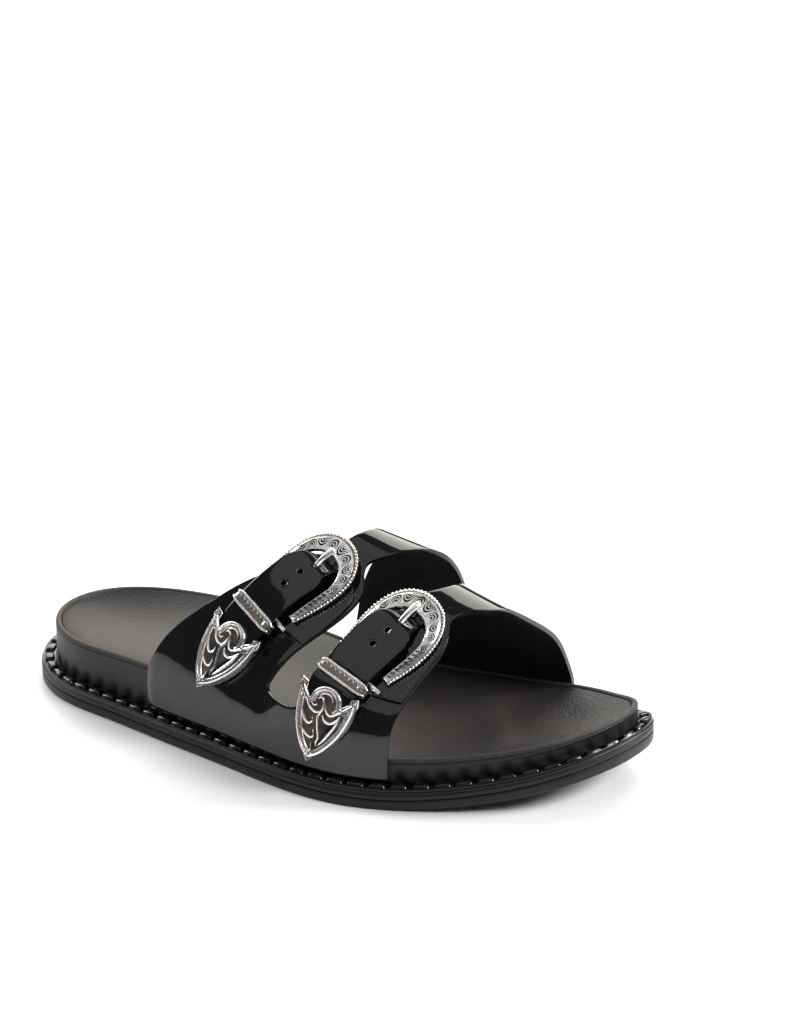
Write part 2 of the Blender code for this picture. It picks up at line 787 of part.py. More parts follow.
def tail_knots(belt):
    """Out of the tip, through the keeper, over the bar and under the crown: place and directions."""
    seats = SEATS[belt.name]
    at = seats["tip"]["place"]
    tip = belt.seat(at, TIP_SEAT + TIP_HEIGHT / 2, seats["tip"]["side"], seats["tip"]["turn"], seats["tip"]["tilt"])
    mouth = TIP_LENGTH / 2
    origin = tip((0, 0, 0))
    ways = (tip((1, 0, 0)) - origin, tip((0, 1, 0)) - origin)
    knots = [(tip((0, a, 0)), ways) for a in (mouth - TIP_POCKET + GAP, mouth)]
    at = seats["keeper"]["place"]
    keeper = belt.seat(at, KEEPER_SEAT + KEEPER_HEIGHT / 2, seats["keeper"]["side"])
    knots.append((keeper((0, 0, 0)), belt.directions(at)))
    for along, height, side in zip(TAIL_RISE["along"], TAIL_RISE["height"], TAIL_RISE["side"]):
        place = belt.wrap((TAIL_SIDE * side, along * FRAME_LENGTH, height * FRAME_HEIGHT))
        knots.append((place, (belt.directions(along * FRAME_LENGTH)[0], None)))
    return knots, [1.0] * 3 + list(TAIL_RISE["width"])


def tail_frame(belt):
    """Points along the belt's middle line with their across and up directions and width shares."""
    knots, widths = tail_knots(belt)
    places = np.array([place for place, _ in knots])
    across = [given[0] for _, given in knots]
    ahead = []
    for k, (_, given) in enumerate(knots):
        way = places[min(k + 1, len(knots) - 1)] - places[max(k - 1, 0)]
        ahead.append(way / np.linalg.norm(way) if given[1] is None else given[1])
    points, side_rows, shares = [], [], []
    for k in range(len(knots) - 1):
        reach = np.linalg.norm(places[k + 1] - places[k])
        for t in np.linspace(0, 1, 4)[: 4 if k == len(knots) - 2 else 3]:
            one, two = 2 * t**3 - 3 * t**2 + 1, t**3 - 2 * t**2 + t
            three, four = -2 * t**3 + 3 * t**2, t**3 - t**2
            point = one * places[k] + three * places[k + 1]
            points.append(point + (two * ahead[k] + four * ahead[k + 1]) * reach)
            side_rows.append(across[k] * (1 - t) + across[k + 1] * t)
            shares.append(widths[k] * (1 - t) + widths[k + 1] * t)
    points, sides = np.array(points), np.array(side_rows)
    way = np.gradient(points, axis=0)
    way /= np.linalg.norm(way, axis=1)[:, None]
    sides -= way * np.sum(sides * way, axis=1)[:, None]
    sides /= np.linalg.norm(sides, axis=1)[:, None]
    return points, sides, np.cross(sides, way), shares


def prong_path(belt):
    rows = zip(PRONG_RISE["along"] * FRAME_LENGTH, PRONG_RISE["height"] * FRAME_HEIGHT)
    knots = np.array([belt.wrap((TAIL_SIDE / 2, a, h)) for a, h in rows])
    run = np.concatenate([[0], np.cumsum(np.linalg.norm(np.diff(knots, axis=0), axis=1))])
    return natural_spline(run, knots)(np.linspace(0, run[-1], 15))


def build_tail(name, belt):
    points, across, up, shares = tail_frame(belt)
    bm = bmesh.new()
    loops = []
    thick = TAIL_THICKNESS / 2
    for point, side, rise, share in zip(points, across, up, shares):
        half = share * TAIL_WIDTH / 2
        loop = [(-half, -thick), (half, -thick), (half, thick), (-half, thick)]
        loops.append([point + side * c + rise * h for c, h in loop])
    rings = new_rings(bm, loops)
    bm.faces.new(rings[0])
    bm.faces.new(rings[-1])
    made = add_object(name, bm, patent)
    drill = bmesh.new()
    add_rod(drill, prong_path(belt)[7:], PRONG_RADIUS + 1.5 * GAP, 9)
    run = np.concatenate([[0], np.cumsum(np.linalg.norm(np.diff(points, axis=0), axis=1))])
    nearest = int(np.argmin(np.linalg.norm(points - belt.wrap((TAIL_SIDE, PRONG_HOLE, 2 * FRAME_HEIGHT)), axis=1)))
    for k in (1, 2):
        at = run[nearest] - k * HOLE_PITCH
        centre = np.array([np.interp(at, run, points[:, i]) for i in range(3)])
        rise = up[int(np.argmin(abs(run - at)))]
        add_rod(drill, [centre + rise * h for h in (-2 * MM, 0, 2 * MM)], TAIL_HOLE / 2, 9)
    cut(made, add_object(name + "_drill", drill, patent))
    return made


def horseshoe(half_width, top, power, corner, leg_half, leg_end, count=10):
    """Half of a horseshoe line, from the leg's end to the crown, as across and along."""
    line = [(leg_half, leg_end), ((leg_half + half_width) / 2, (leg_end + corner) / 2), (half_width, corner)]
    for k in range(1, count + 1):
        turn = math.pi / 2 * k / count
        c = half_width * math.cos(turn) ** (2 / power)
        a = corner + (top - corner) * math.sin(turn) ** (2 / power)
        line.append((c, a))
    line[-1] = (0.0, top)
    return line


def both_sides(line):
    return line + [(-c, a) for c, a in line[-2::-1]]


def build_frame(name, belt):
    """Horseshoe frame: an inner wall, a ridge, a sloping face and an edge for the beads; low lugs meet the bar."""
    seat = SEATS[belt.name]["frame"]
    turn = (math.cos(seat["turn"]), math.sin(seat["turn"]))
    centre = FRAME_CORNER - LUG_LENGTH
    end = LEG_END + LUG_LENGTH
    foot = FRAME_OPENING
    inner = both_sides(horseshoe(FRAME_OPENING, FRAME_LENGTH - FRAME_END, 2.25, FRAME_CORNER, foot, end))
    outer = both_sides(horseshoe(FRAME_HALF_WIDTH, FRAME_LENGTH, 2.25, FRAME_CORNER, foot + LEG_WIDTH, end))
    for line, c in ((inner, foot), (outer, foot + LEG_WIDTH / 2)):
        lug = [(c, LEG_END), (c, end - GAP)]
        line[:0] = lug
        line.extend((-c, a) for c, a in lug[::-1])
    profile = table("out up", (0, 0), (0, 0.80), (0.34, 1.0), (0.80, 0.62), (0.88, 0.50), (1.0, 0.42), (1.0, 0.0))
    bm = bmesh.new()
    loops = []
    for (ci, ai), (co, ao) in zip(inner, outer):
        loop = []
        low = 0.4 if ai < end else 1.0
        for out, rise in zip(profile["out"], profile["up"]):
            c = ci + (co - ci) * out
            a = ai + (ao - ai) * out
            place = (
                c * turn[0] - (a - centre) * turn[1] + seat["side"],
                c * turn[1] + (a - centre) * turn[0] + centre if a > end else a,
                FRAME_SEAT + crown_lift(a) + rise * low * FRAME_HEIGHT,
            )
            loop.append(belt.wrap(place))
        loops.append(loop)
    rings = new_rings(bm, loops)
    bm.faces.new(rings[0])
    bm.faces.new(rings[-1])
    return add_object(name, bm, silver)


def add_rod(bm, path, radius, sides=8):
    """A round rod along points, with flat ends."""
    path = np.array(path)
    ahead = np.gradient(path, axis=0)
    loops = []
    for point, way in zip(path, ahead):
        way = Vector(way).normalized()
        side = way.orthogonal().normalized() if not loops else (side - way * side.dot(way)).normalized()
        other = way.cross(side)
        turns = [2 * math.pi * k / sides for k in range(sides)]
        loops.append([Vector(point) + (side * math.cos(t) + other * math.sin(t)) * radius for t in turns])
    rings = new_rings(bm, loops)
    bm.faces.new(rings[0])
    bm.faces.new(rings[-1])


def build_bar(name, belt):
    bm = bmesh.new()
    place = belt.seat(BAR_PLACE, BAR_SEAT)
    add_rod(bm, [place((BAR_SIDE + BAR_LENGTH * k, 0, 0)) for k in (-0.5, 0, 0.5)], BAR_RADIUS)
    return add_object(name, bm, silver)


def build_prong(name, belt):
    """The prong starts beside the bar, rises through the belt's hole and rests on the crown."""
    bm = bmesh.new()
    add_rod(bm, prong_path(belt), PRONG_RADIUS)
    return add_object(name, bm, silver)


def build_keeper(name, belt):
    """A flat loop round the belt with softened corners."""
    half = TAIL_WIDTH / 2 + KEEPER_SIDE_GAP + KEEPER_WALL
    corner = KEEPER_WALL
    outer = [
        (-half + corner, 0), (half - corner, 0), (half, corner), (half, KEEPER_HEIGHT - corner),
        (half - corner, KEEPER_HEIGHT), (-half + corner, KEEPER_HEIGHT), (-half, KEEPER_HEIGHT - corner), (-half, corner),
    ]
    inside = half - KEEPER_WALL
    low, high = KEEPER_WALL, KEEPER_WALL + KEEPER_OPENING
    inner = [
        (-inside, low), (inside, low), (inside, low), (inside, high),
        (inside, high), (-inside, high), (-inside, high), (-inside, low),
    ]
    bm = bmesh.new()
    front, back = -KEEPER_LENGTH / 2, KEEPER_LENGTH / 2
    loops = [[(c, a, h) for c, h in shape] for shape, a in ((outer, front), (outer, back), (inner, back), (inner, front))]
    rings = new_rings(bm, loops + loops[:1])
    bmesh.ops.remove_doubles(bm, verts=bm.verts, dist=0.01 * MM)
    seat = SEATS[belt.name]["keeper"]
    place_all(bm, belt.seat(seat["place"], KEEPER_SEAT, seat["side"], seat["turn"], seat["tilt"]))
    return add_object(name, bm, silver)


def tip_outline():
    """Shield with two horns and a round lobe, as shares of half its width and its length."""
    side = [(0.0, -1.0), (0.14, -0.92), (0.35, -0.78), (0.60, -0.50), (0.83, -0.12), (0.96, 0.30), (1.0, 0.62), (0.99, 0.93)]
    shoulder = [(0.80, 0.66), (0.66, 0.54)]
    lobe = [(0.56 * math.cos(t), 0.59 + 0.40 * math.sin(t)) for t in np.linspace(0.1, math.pi / 2, 6)]
    half = side + shoulder + lobe
    full = half + [(-c, a) for c, a in half[-2:0:-1]]
    return [(c * TIP_WIDTH / 2, a * TIP_LENGTH / 2) for c, a in full]


def build_tip(name, belt):
    """The belt's metal end: a shield with a sunk face inside a raised rim, open for the belt."""
    bm = bmesh.new()
    outline = tip_outline()
    loops = [
        [(c, a, 0.0) for c, a in outline],
        [(c, a, TIP_HEIGHT - 0.4 * MM) for c, a in outline],
        [(c * 0.95, a * 0.96, TIP_HEIGHT) for c, a in outline],
    ]
    rings = new_rings(bm, loops)
    bm.faces.new(rings[0])
    bm.faces.new(rings[-1])
    made = add_object(name, bm, silver)
    drill = bmesh.new()
    size = (TAIL_WIDTH + 5 * GAP, 2 * TIP_POCKET, TAIL_THICKNESS + 5 * GAP)
    add_box(drill, (0, TIP_LENGTH / 2, TIP_HEIGHT / 2), size)
    seat = SEATS[belt.name]["tip"]
    place = belt.seat(seat["place"], TIP_SEAT, seat["side"], seat["turn"], seat["tilt"])
    place_all(drill, place)
    for v in made.data.vertices:
        v.co = Vector(place(v.co))
    cut(made, add_object(name + "_drill", drill, silver))
    return made


def build_buckle(name):
    belt = Belt(name)
    build_backing(name + "_backing", belt)
    build_tail(name + "_tail", belt)
    build_frame(name + "_frame", belt)
    build_bar(name + "_bar", belt)
    build_prong(name + "_prong", belt)
    build_keeper(name + "_keeper", belt)
    build_tip(name + "_tip", belt)


def centre_on_floor():
    """Moves every mesh so that the origin is under the middle of the shoe, on the floor."""
    depsgraph = bpy.context.evaluated_depsgraph_get()
    low, high = np.full(3, np.inf), np.full(3, -np.inf)
    for item in bpy.data.objects:
        if item.hide_render:
            continue
        seen = item.evaluated_get(depsgraph)
        corners = np.array([seen.matrix_world @ v.co for v in seen.data.vertices])
        low, high = np.minimum(low, corners.min(axis=0)), np.maximum(high, corners.max(axis=0))
    shift = Vector((-(low[0] + high[0]) / 2, -(low[1] + high[1]) / 2, -low[2]))
    for mesh in {item.data for item in bpy.data.objects}:
        for v in mesh.vertices:
            v.co += shift


clear_scene()
rubber = material("rubber", (0.028, 0.026, 0.027), 0.55)
matt_black = material("matt_black", (0.030, 0.028, 0.028), 0.6)
footbed_cover = material("footbed_cover", (0.055, 0.050, 0.050), 0.8)
gloss_rubber = material("gloss_rubber", (0.010, 0.010, 0.011), 0.15)
patent = material("patent", (0.006, 0.006, 0.007), 0.06)
silver = material("silver", (0.78, 0.76, 0.74), 0.22, 1.0)

build_outsole()
build_midsole()
build_insole()
build_rand()
build_upper()
build_buckle("front")
build_buckle("rear")
centre_on_floor()
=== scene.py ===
import math

import bmesh
import bpy
import numpy as np
from mathutils import Matrix, Vector


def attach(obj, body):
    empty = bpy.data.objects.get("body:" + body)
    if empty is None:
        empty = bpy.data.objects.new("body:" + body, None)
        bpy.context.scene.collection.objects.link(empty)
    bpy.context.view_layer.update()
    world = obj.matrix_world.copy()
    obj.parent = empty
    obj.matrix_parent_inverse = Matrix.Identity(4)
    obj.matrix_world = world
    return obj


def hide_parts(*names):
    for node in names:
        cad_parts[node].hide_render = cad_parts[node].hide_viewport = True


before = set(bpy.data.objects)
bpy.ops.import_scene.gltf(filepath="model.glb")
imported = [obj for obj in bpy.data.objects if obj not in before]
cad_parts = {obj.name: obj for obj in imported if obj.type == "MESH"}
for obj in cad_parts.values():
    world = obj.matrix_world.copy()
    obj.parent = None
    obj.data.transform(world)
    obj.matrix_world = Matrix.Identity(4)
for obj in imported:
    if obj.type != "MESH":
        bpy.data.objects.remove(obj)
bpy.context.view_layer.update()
mm = 0.001

# Plan and heights of the sole, in millimetres from the heel tip of the footbed
sole = {
    "length": 250, "ball": 100, "ledge": 6.2, "heelWall": 18, "toeSpring": 12.2, "toeExtra": 1.3, "heelSpring": 0.8,
    "outsole": 7.1, "cup": 8, "arch": 4.5, "toeBar": 2.4, "toeHollow": 1.9,
    "along": [0, .04, .12, .22, .34, .46, .58, .68, .78, .87, .94, .985, 1],
    "lateral": [0, -.234, -.350, -.394, -.446, -.495, -.545, -.543, -.452, -.320, -.180, -.012, .162],
    "medial": [0, .228, .323, .340, .311, .293, .336, .410, .449, .441, .378, .303, .162],
    "wall": [(0, .96), (.15, 1), (.35, 1.04), (.60, .66), (.80, .60), (1, .49)],
    "dish": [(0, 0), (.06, .62), (.16, 1), (.30, .80), (.45, .42), (.62, .36), (.80, .34), (.94, .26), (1, 0)],
}


def smoothCurve(knots, values):  # natural spline through a few values
    knots = np.asarray(knots, float)
    values = np.asarray(values, float)
    if values.ndim == 1:
        values = values[:, None]
    count = len(knots)
    step = np.diff(knots)
    matrix = np.eye(count)
    right = np.zeros_like(values)
    for k in range(1, count - 1):
        matrix[k, k - 1:k + 2] = step[k - 1], 2 * (step[k - 1] + step[k]), step[k]
        right[k] = 6 * ((values[k + 1] - values[k]) / step[k] - (values[k] - values[k - 1]) / step[k - 1])
    bend = np.linalg.solve(matrix, right)

    def read(at):
        at = np.atleast_1d(np.asarray(at, float))
        k = np.clip(np.searchsorted(knots, at) - 1, 0, count - 2)
        width = step[k][:, None]
        before = (at - knots[k])[:, None]
        after = (knots[k + 1] - at)[:, None]
        cubic = bend[k] * after**3 / (6 * width) + bend[k + 1] * before**3 / (6 * width)
        return (cubic + (values[k] / width - bend[k] * width / 6) * after
                + (values[k + 1] / width - bend[k + 1] * width / 6) * before)

    return read


def runOf(points):  # distance along a line of points
    return np.concatenate([[0], np.cumsum(np.linalg.norm(np.diff(points, axis=0), axis=1))])


def readRows(at, run, rows):  # the row at one distance along a run
    return np.array([np.interp(at, run, rows[:, i]) for i in range(3)])


def turnOf(share):
    return np.arccos(np.clip(1 - 2 * np.asarray(share, float), -1, 1))


lateralCurve = smoothCurve(turnOf(sole["along"]), sole["lateral"])
medialCurve = smoothCurve(turnOf(sole["along"]), sole["medial"])
wallCurve = smoothCurve([a for a, _ in sole["wall"]], [b for _, b in sole["wall"]])
dishCurve = smoothCurve([a for a, _ in sole["dish"]], [b for _, b in sole["dish"]])
shift = np.array([-125.0, 7.0315, 0.0])  # the footbed's heel tip in the CAD frame


def toScene(point):
    return Vector((np.asarray(point, float) + shift) * mm)


def reachOf(curve, x):
    return float(curve(turnOf(x / sole["length"]))[0, 0]) * sole["ball"]


def toeRise(x):
    return max(0.0, (x / sole["length"] - 0.72) / 0.28) ** 2


def heelRise(x):
    return max(0.0, (0.10 - x / sole["length"]) / 0.10) ** 2 * sole["heelSpring"]


def soleLift(x):
    return toeRise(x) * (sole["toeSpring"] - sole["toeExtra"]) + heelRise(x)


def ledgeHeight(x):
    return toeRise(x) * sole["toeSpring"] + heelRise(x) + sole["outsole"]


def rimHeight(x):
    share = min(max(x / sole["length"], 0.0), 1.0)
    return ledgeHeight(x) + float(wallCurve(share)[0, 0]) * sole["heelWall"]


def outlineAt(phi):  # round the footbed: heel tip, lateral side, toe tip, medial side
    phi = phi % (2 * math.pi)
    turn = phi if phi <= math.pi else 2 * math.pi - phi
    x = (1 - math.cos(turn)) / 2 * sole["length"]
    curve = lateralCurve if phi <= math.pi else medialCurve
    return np.array([x, float(curve(turn)[0, 0]) * sole["ball"]])


ringStore = {}


def outlineRing(count):  # evenly spaced points round the outline with their outward directions
    if count not in ringStore:
        dense = np.array([outlineAt(2 * math.pi * k / 4000) for k in range(4001)])
        run = runOf(dense)
        at = np.linspace(0, run[-1], count, endpoint=False)
        ring = np.column_stack([np.interp(at, run, dense[:, i]) for i in (0, 1)])
        wide = max(2, count // 160)
        ahead = np.roll(ring, -wide, axis=0) - np.roll(ring, wide, axis=0)
        ahead /= np.linalg.norm(ahead, axis=1)[:, None]
        ringStore[count] = (ring, np.column_stack([ahead[:, 1], -ahead[:, 0]]), at, run[-1])
    return ringStore[count]


def newObject(name, bm, looks, smooth=35, node=None):
    mesh = bpy.data.meshes.new(name)
    bm.to_mesh(mesh)
    bm.free()
    for look in looks if isinstance(looks, (list, tuple)) else [looks]:
        mesh.materials.append(look)
    made = bpy.data.objects.new(name, mesh)
    bpy.context.scene.collection.objects.link(made)
    if smooth:
        mesh.shade_smooth()
        mesh.set_sharp_from_angle(angle=math.radians(smooth))
    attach(made, "root")
    if node:
        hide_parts(node)
    return made


def addWall(made, thick, edge=0):  # the sheet's thickness on its back, with a small round on its edges
    wall = made.modifiers.new("wall", "SOLIDIFY")
    wall.thickness = thick * mm
    wall.offset = -1
    if edge:
        soft = made.modifiers.new("edges", "BEVEL")
        soft.width = edge * mm
        soft.segments = 2
        soft.limit_method = "ANGLE"
        soft.angle_limit = math.radians(50)
    return wall


def faceOut(bm, spot, way):  # turns a sheet so that its face by spot looks along way
    bmesh.ops.recalc_face_normals(bm, faces=bm.faces)
    near = min(bm.faces, key=lambda f: (f.calc_center_median() - spot).length)
    if near.normal.dot(way) < 0:
        bmesh.ops.reverse_faces(bm, faces=bm.faces)


def newGroup(name, inputs, outputs):
    group = bpy.data.node_groups.new(name, "ShaderNodeTree")
    for socket, kind, value in inputs:
        made = group.interface.new_socket(socket, in_out="INPUT", socket_type=kind)
        made.default_value = value
    for socket, kind in outputs:
        group.interface.new_socket(socket, in_out="OUTPUT", socket_type=kind)
    nodes = group.nodes
    return group, nodes, group.links, nodes.new("NodeGroupInput"), nodes.new("NodeGroupOutput")


def makeGrainGroup():  # fine grain in two sizes: a height and a mask
    group, nodes, links, given, out = newGroup(
        "surfaceGrain", [("Scale", "NodeSocketFloat", 900.0), ("Coarse", "NodeSocketFloat", 60.0)],
        [("Height", "NodeSocketFloat"), ("Mottle", "NodeSocketFloat")])
    place = nodes.new("ShaderNodeTexCoord")
    fine = nodes.new("ShaderNodeTexNoise")
    fine.inputs["Detail"].default_value = 3
    coarse = nodes.new("ShaderNodeTexNoise")
    coarse.inputs["Detail"].default_value = 2
    links.new(place.outputs["Object"], fine.inputs["Vector"])
    links.new(place.outputs["Object"], coarse.inputs["Vector"])
    links.new(given.outputs["Scale"], fine.inputs["Scale"])
    links.new(given.outputs["Coarse"], coarse.inputs["Scale"])
    links.new(fine.outputs["Fac"], out.inputs["Height"])
    links.new(coarse.outputs["Fac"], out.inputs["Mottle"])
    return group


grainGroup = makeGrainGroup()


def newMaterial(name, color, roughness, metallic=0.0, coat=0.0, specular=0.5):
    made = bpy.data.materials.new(name)
    made.use_nodes = True
    shader = made.node_tree.nodes["Principled BSDF"]
    shader.inputs["Base Color"].default_value = (*color, 1)
    shader.inputs["Roughness"].default_value = roughness
    shader.inputs["Metallic"].default_value = metallic
    shader.inputs["Coat Weight"].default_value = coat
    shader.inputs["Specular IOR Level"].default_value = specular
    return made, made.node_tree.nodes, made.node_tree.links, shader


def addRamp(nodes, links, source, stops, target):
    ramp = nodes.new("ShaderNodeValToRGB")
    for k, (place, color) in enumerate(stops):
        stop = ramp.color_ramp.elements[k] if k < 2 else ramp.color_ramp.elements.new(place)
        stop.position = place
        stop.color = (*color, 1) if isinstance(color, (tuple, list)) else (color, color, color, 1)
    links.new(source, ramp.inputs["Fac"])
    links.new(ramp.outputs["Color"], target)
    return ramp


def addBump(nodes, links, source, distance, strength, shader, before=None):
    bump = nodes.new("ShaderNodeBump")
    bump.inputs["Distance"].default_value = distance
    bump.inputs["Strength"].default_value = strength
    links.new(source, bump.inputs["Height"])
    if before:
        links.new(before.outputs["Normal"], bump.inputs["Normal"])
    links.new(bump.outputs["Normal"], shader.inputs["Normal"])
    return bump


def grained(name, dark, light, roughness, scale, distance, coarse=60, spread=0.5, specular=0.5):
    made, nodes, links, shader = newMaterial(name, dark, roughness, specular=specular)
    grain = nodes.new("ShaderNodeGroup")
    grain.node_tree = grainGroup
    grain.inputs["Scale"].default_value = scale
    grain.inputs["Coarse"].default_value = coarse
    addRamp(nodes, links, grain.outputs["Mottle"], [(0.5 - spread / 2, dark), (0.5 + spread / 2, light)],
        shader.inputs["Base Color"])
    addBump(nodes, links, grain.outputs["Height"], distance, 1.0, shader)
    return made


def shadeEdges(made, attribute, stops):  # the base colour times a ramp of a value kept on the mesh
    nodes, links = made.node_tree.nodes, made.node_tree.links
    shader = nodes["Principled BSDF"]
    given = nodes.new("ShaderNodeAttribute")
    given.attribute_name = attribute
    mix = nodes.new("ShaderNodeVectorMath")
    mix.operation = "MULTIPLY"
    source = shader.inputs["Base Color"].links[0].from_socket
    links.new(source, mix.inputs[0])
    addRamp(nodes, links, given.outputs["Fac"], stops, mix.inputs[1])
    links.new(mix.outputs["Vector"], shader.inputs["Base Color"])


def makePatent(name, waves=1.0):  # glossy black with slow waves and a few dust specks
    made, nodes, links, shader = newMaterial(name, (0.0045, 0.0045, 0.005), 0.07, specular=0.55)
    shader.inputs["IOR"].default_value = 1.52
    place = nodes.new("ShaderNodeTexCoord")
    slow = nodes.new("ShaderNodeTexNoise")
    slow.inputs["Scale"].default_value = 55
    slow.inputs["Detail"].default_value = 1.5
    links.new(place.outputs["Object"], slow.inputs["Vector"])
    first = addBump(nodes, links, slow.outputs["Fac"], 0.0011 * waves, 0.35, shader)
    fine = nodes.new("ShaderNodeTexNoise")
    fine.inputs["Scale"].default_value = 700
    fine.inputs["Detail"].default_value = 1
    links.new(place.outputs["Object"], fine.inputs["Vector"])
    addBump(nodes, links, fine.outputs["Fac"], 0.00003, 0.25, shader, first)
    specks = nodes.new("ShaderNodeTexVoronoi")
    specks.inputs["Scale"].default_value = 260
    links.new(place.outputs["Object"], specks.inputs["Vector"])
    addRamp(nodes, links, specks.outputs["Distance"], [(0.035, (0.09, 0.09, 0.1)), (0.06, (0.0045, 0.0045, 0.005))],
        shader.inputs["Base Color"])
    return made


def makeSilver(name, color, roughness):
    made, nodes, links, shader = newMaterial(name, color, roughness, metallic=1.0)
    grain = nodes.new("ShaderNodeGroup")
    grain.node_tree = grainGroup
    grain.inputs["Scale"].default_value = 1600
    grain.inputs["Coarse"].default_value = 260
    low, high = roughness * 0.7, roughness * 1.5
    addRamp(nodes, links, grain.outputs["Mottle"], [(0.3, low), (0.75, high)], shader.inputs["Roughness"])
    addBump(nodes, links, grain.outputs["Height"], 0.00004, 0.4, shader)
    return made


patent = makePatent("patentBlack")
patentFlat = makePatent("patentBelt", 0.7)
soleRubber = grained("soleRubber", (0.007, 0.0065, 0.007), (0.012, 0.011, 0.0115), 0.42, 1100, 0.00006, 45, 0.5,
    0.32)
blockFoam = grained("blockFoam", (0.011, 0.0095, 0.0095), (0.016, 0.014, 0.0135), 0.48, 1500, 0.00005, 30, 0.5,
    0.35)
coverSuede = grained("coverSuede", (0.012, 0.0100, 0.0090), (0.022, 0.0188, 0.0172), 0.55, 1000, 0.00034, 24, 0.5,
    0.42)
# painted shade: the cover darkens towards its rim and brightens in its middle, standing in for the shading of the
# heel cup
shadeEdges(coverSuede, "paintedCupShade", [(0.15, 0.38), (0.62, 1.0), (1.0, 1.35)])
# rim bead material: its finer grain is the rim's own; its lighter tone is a painted highlight along the rim edge
rimGrainHighlight = grained("rimGrainHighlight", (0.016, 0.014, 0.0135), (0.040, 0.036, 0.034), 0.6, 1800, 0.00012, 900, 0.4, 0.4)
studGloss = grained("studGloss", (0.005, 0.005, 0.006), (0.008, 0.008, 0.009), 0.16, 500, 0.00002, 60, 0.5, 0.4)
liningCloth = grained("liningCloth", (0.010, 0.010, 0.011), (0.020, 0.019, 0.020), 0.85, 1500, 0.00015, 90)
threadBlack = grained("threadBlack", (0.010, 0.010, 0.011), (0.020, 0.020, 0.022), 0.35, 2500, 0.00005, 400)
silverBright = makeSilver("silverBright", (0.90, 0.89, 0.87), 0.24)
silverDark = makeSilver("silverDark", (0.20, 0.183, 0.17), 0.30)
engraving = makeSilver("engraving", (0.035, 0.031, 0.028), 0.45)
# lighter grey for the rings round the punched holes: a painted highlight
ringPaintedHighlight = grained("ringPaintedHighlight", (0.05, 0.05, 0.055), (0.09, 0.09, 0.095), 0.22, 2500, 0.00003, 400)
print("materials made")


studs = {"pitch": 7.9, "length": 6.5, "width": 4.0, "height": 1.15, "base": 0.9, "inset": 2.9, "slopeLong": 1.2,
    "slopeWide": 1.0, "round": 0.5}


def stackRings(count, levels):  # a circle laid on the outline, then drawn through its levels
    bm = bmesh.new()
    ring, outward, _, _ = outlineRing(count)
    index = bm.verts.layers.int.new("station")
    first = bmesh.ops.create_circle(bm, cap_ends=False, segments=count, radius=1)["verts"]
    for k, v in enumerate(first):
        v[index] = k
    loop = list(bm.edges)
    rings = [first]
    for _ in levels[1:]:
        made = bmesh.ops.extrude_edge_only(bm, edges=loop)["geom"]
        rings.append([g for g in made if isinstance(g, bmesh.types.BMVert)])
        loop = [g for g in made if isinstance(g,
            bmesh.types.BMEdge) and g.verts[0] in set(rings[-1]) and g.verts[1] in set(rings[-1])]
    for verts, (offset, height) in zip(rings, levels):
        for v in verts:
            k = v[index]
            out = offset(k) if callable(offset) else offset
            x, y = ring[k] + outward[k] * out
            v.co = toScene((x, y, height(x, k)))
    return bm, rings


def capRing(bm, verts):
    edges = {e for v in verts for e in v.link_edges if e.other_vert(v) in set(verts)}
    return bmesh.ops.contextual_create(bm, geom=list(edges))["faces"]


outsole = {"count": 420, "groove": 0.55, "tread": 1.5, "pitch": 12, "bar": 0.42, "border": 9, "from": 0.10,
    "to": 0.90, "arch": (0.31, 0.49), "round": 0.6}


def makeOutsole():

    def band(share):
        return lambda x, k: soleLift(x) + (ledgeHeight(x) - soleLift(x)) * share

    edge = [(-0.75, 0), (-0.22, .035), (0, .10), (0.05, .30), (0, .495), (-0.1, .515), (-outsole["groove"], .53),
        (-outsole["groove"], .565),
            (-0.1, .58), (0, .60), (0.02, .66), (0, .80), (-0.12, .825), (-0.30, .84), (-0.12, .86), (0.0,
                .885), (0, .94), (-0.25, .985), (-0.7, 1.0)]
    levels = [(sole["ledge"] + out, band(share)) for out, share in edge]
    levels += [(sole["ledge"] - 1.2, band(1.0)), (-0.6, band(1.0))]
    bm, rings = stackRings(outsole["count"], levels)
    capRing(bm, rings[-1])
    bottom = capRing(bm, rings[0])
    bmesh.ops.inset_region(bm, faces=bottom, thickness=outsole["border"] * mm, use_even_offset=True)
    low, high = outsole["from"], outsole["to"]
    cuts = []
    x = low * sole["length"]
    while x < high * sole["length"]:
        cuts += [x, x + outsole["pitch"] * outsole["bar"]]
        x += outsole["pitch"]
    faces = list(bottom)
    for x in cuts:
        geom = faces + list({e for f in faces for e in f.edges}) + list({v for f in faces for v in f.verts})
        done = bmesh.ops.bisect_plane(bm, geom=geom, dist=1e-6, plane_co=toScene((x, 0, 0)), plane_no=(1, 0, 0))
        faces = [g for g in done["geom"] if isinstance(g, bmesh.types.BMFace)]
    for v in {v for f in faces for v in f.verts}:
        v.co.z = soleLift(v.co.x / mm - shift[0]) * mm
    pockets = []
    for f in faces:
        middle = f.calc_center_median().x / mm - shift[0]
        share = ((middle - low * sole["length"]) / outsole["pitch"]) % 1.0
        inArch = outsole["arch"][0] < middle / sole["length"] < outsole["arch"][1]
        if share > outsole["bar"] and not inArch and low < middle / sole["length"] < high:
            pockets.append(f)
    for f in pockets:
        bmesh.ops.inset_region(bm, faces=[f], thickness=outsole["round"] * mm)
        bmesh.ops.translate(bm, vec=(0, 0, outsole["tread"] * mm), verts=list(f.verts))
    bmesh.ops.triangulate(bm, faces=[f for f in bm.faces if len(f.verts) > 4])
    bmesh.ops.recalc_face_normals(bm, faces=bm.faces)
    return newObject("outsoleBlack", bm, soleRubber, 40, "outsole")


def studPlaces():  # middle of every stud round the ledge
    ring, outward, _, around = outlineRing(1440)
    number = round(around / studs["pitch"])
    places = []
    for k in range(number):
        i = int(round(k / number * 1440)) % 1440
        places.append((ring[i] + outward[i] * studs["inset"], outward[i]))
    return places


def scallops(count):  # 1 in the middle of a stud, 0 between two
    number = len(studPlaces())
    return [0.5 + 0.5 * math.cos(2 * math.pi * k / count * number) for k in range(count)]


